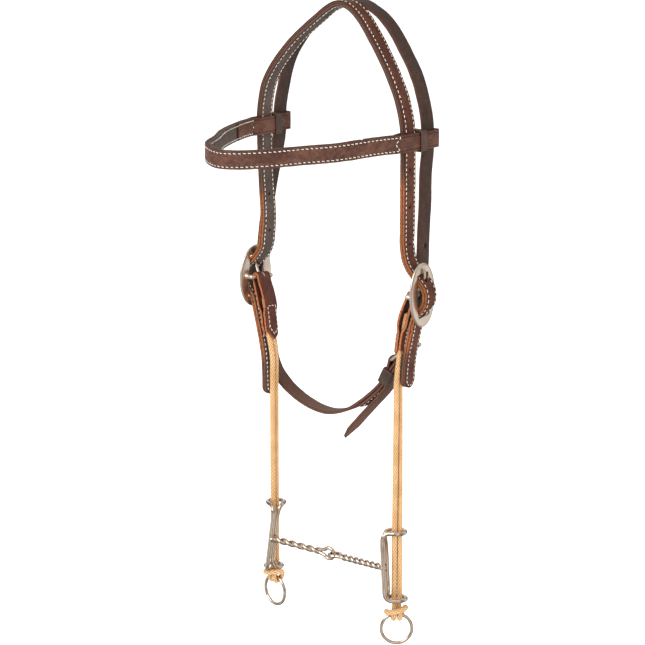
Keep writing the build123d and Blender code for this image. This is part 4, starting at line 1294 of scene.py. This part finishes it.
def throat_hardware():
    rim = smooth([HEEL + FORTH * x + np.array([0, y, 0]) for x, y in THROAT_RIM], 0.7, closed=True)
    place(tube("throatlatch_buckle", rim, 1.55, NICKEL, 22, closed=True), "headstall", "nickel",
          "throatlatch_buckle_frame")
    along = np.linspace(0, 1, 24)
    path = np.array([TONGUE_ROOT * (1 - f) + TONGUE_TIP * f for f in along])
    shank = tube("shank", path, np.interp(along, [0, 0.85, 1], [1.2, 1.15, 0.9]), NICKEL, 18)
    eye = tube("eye", arc(HEEL, OUT, UP, 2.8, full_turn(40)), 1.1, NICKEL, 14, closed=True)
    place(join("throatlatch_tongue", [shank, eye]), "throat_tongue", "nickel",
          "throatlatch_buckle_tongue")
    ob = keeper("throatlatch_keeper", UP, Y_AXIS, OUT, inner_w=STRAP_W + 0.45,
                inner_h=3 * THROAT_T + 1.75, length=15.0, seed=77)
    place(ob, "throat_keeper", "leather_throat", "throatlatch_keeper")


throatlatch()
throat_hardware()


# ------------------------------------------------------------------ stage
def add_object(name, data, location, facing):
    """A camera or light whose back points along `facing`."""
    ob = bpy.data.objects.new(name, data)
    bpy.context.scene.collection.objects.link(ob)
    ob.location = location
    ob.rotation_euler = Vector(facing).to_track_quat("Z", "Y").to_euler()
    return ob


def camera():
    azimuth, elevation = math.radians(39.0), math.radians(13.2)
    target = local(0, -18.0, 0.0) * MM
    back = np.array([math.sin(azimuth) * math.cos(elevation),
                     -math.cos(azimuth) * math.cos(elevation), math.sin(elevation)])
    data = bpy.data.cameras.new("camera")
    data.sensor_width = 36.0
    data.lens = 133.33395
    data.clip_start = 0.05
    data.clip_end = 60
    distance = 2.150
    bpy.context.scene.camera = add_object("camera", data, Vector(target + back * distance), back)


def floor():
    g = Surface("floor")
    material = g.finish({
        "Base Color": (0.93, 0.93, 0.93, 1),
        "Roughness": 0.8,
        "Specular IOR Level": 0.0,
        "Emission Color": (1, 1, 1, 1),
        "Emission Strength": 0.62})
    z, reach = cad_lo[2] / MM - 25.0, 9000.0
    corners = [(x * reach, y * reach, z) for x, y in ((-1, -1), (1, -1), (1, 1), (-1, 1))]
    ob = mesh_object("floor", corners, [(0, 1, 2, 3)], material=material, smooth_shade=False)
    ob.visible_glossy = False


# height (0 straight down, 1 straight up), brightness of the reflected surroundings
SKY_BANDS = [(0.25, 0.62), (0.38, 0.92), (0.44, 0.80), (0.485, 0.34), (0.53, 0.24), (0.60, 0.60),
             (0.68, 1.0), (0.80, 0.62), (0.95, 1.0)]


def surroundings():
    """White to the camera, banded and lobed in reflections, and even for diffuse light."""
    world = bpy.data.worlds.new("world")
    bpy.context.scene.world = world
    world.use_nodes = True
    g = Graph(world.node_tree)
    output = g.node("OutputWorld")
    x, y, z = g.split(g.node("TexCoord").outputs["Generated"])
    ramp = g.node("ValToRGB")
    g.link(g.ramp_between(z, lo=-1, hi=1).outputs[0], ramp.inputs[0])
    stops = ramp.color_ramp.elements
    while len(stops) > 1:
        stops.remove(stops[-1])
    stops[0].position = 0.0
    stops[0].color = (0.34, 0.31, 0.28, 1)
    for position, value in SKY_BANDS:
        stops.new(position).color = (value, value * 0.985, value * 0.965, 1)
    # four brighter lobes around the horizon
    lobes = g.math("SINE", g.add(g.mul(g.math("ARCTAN2", y, x), 4.0), 4.2))

    def background(color, strength):
        node = g.node("Background")
        g.put(node.inputs[0], color)
        g.put(node.inputs[1], strength)
        return node.outputs[0]

    def choose(ray, otherwise, chosen):
        node = g.node("MixShader")
        for i, value in enumerate((rays[ray], otherwise, chosen)):
            g.link(value, node.inputs[i])
        return node.outputs[0]

    seen = background(color=(1, 1, 1, 1), strength=1.0)
    glossy = background(color=ramp.outputs[0], strength=g.add(g.mul(lobes, 0.46), 0.80))
    diffuse = background(color=(1, 0.99, 0.975, 1), strength=0.62)
    rays = g.node("LightPath").outputs
    shader = choose("Is Glossy Ray", diffuse, glossy)
    g.link(choose("Is Camera Ray", shader, seen), output.inputs[0])


def area_light(name, location, size, power):
    data = bpy.data.lights.new(name, "AREA")
    data.energy = power
    data.size = size
    data.color = (1, 1, 1)
    ob = add_object(name, data, location, Vector(location) - Vector((0, -0.03, -0.28)))
    ob.visible_glossy = name == "key"


camera()
floor()
surroundings()
area_light("key", (-0.3, -2.0, 1.0), size=1.5, power=38)
area_light("fill", (2.2, -0.7, 0.5), size=1.0, power=24)
area_light("rim", (0.6, 1.8, 0.9), size=1.0, power=14)
bpy.context.scene.view_settings.view_transform = "Standard"
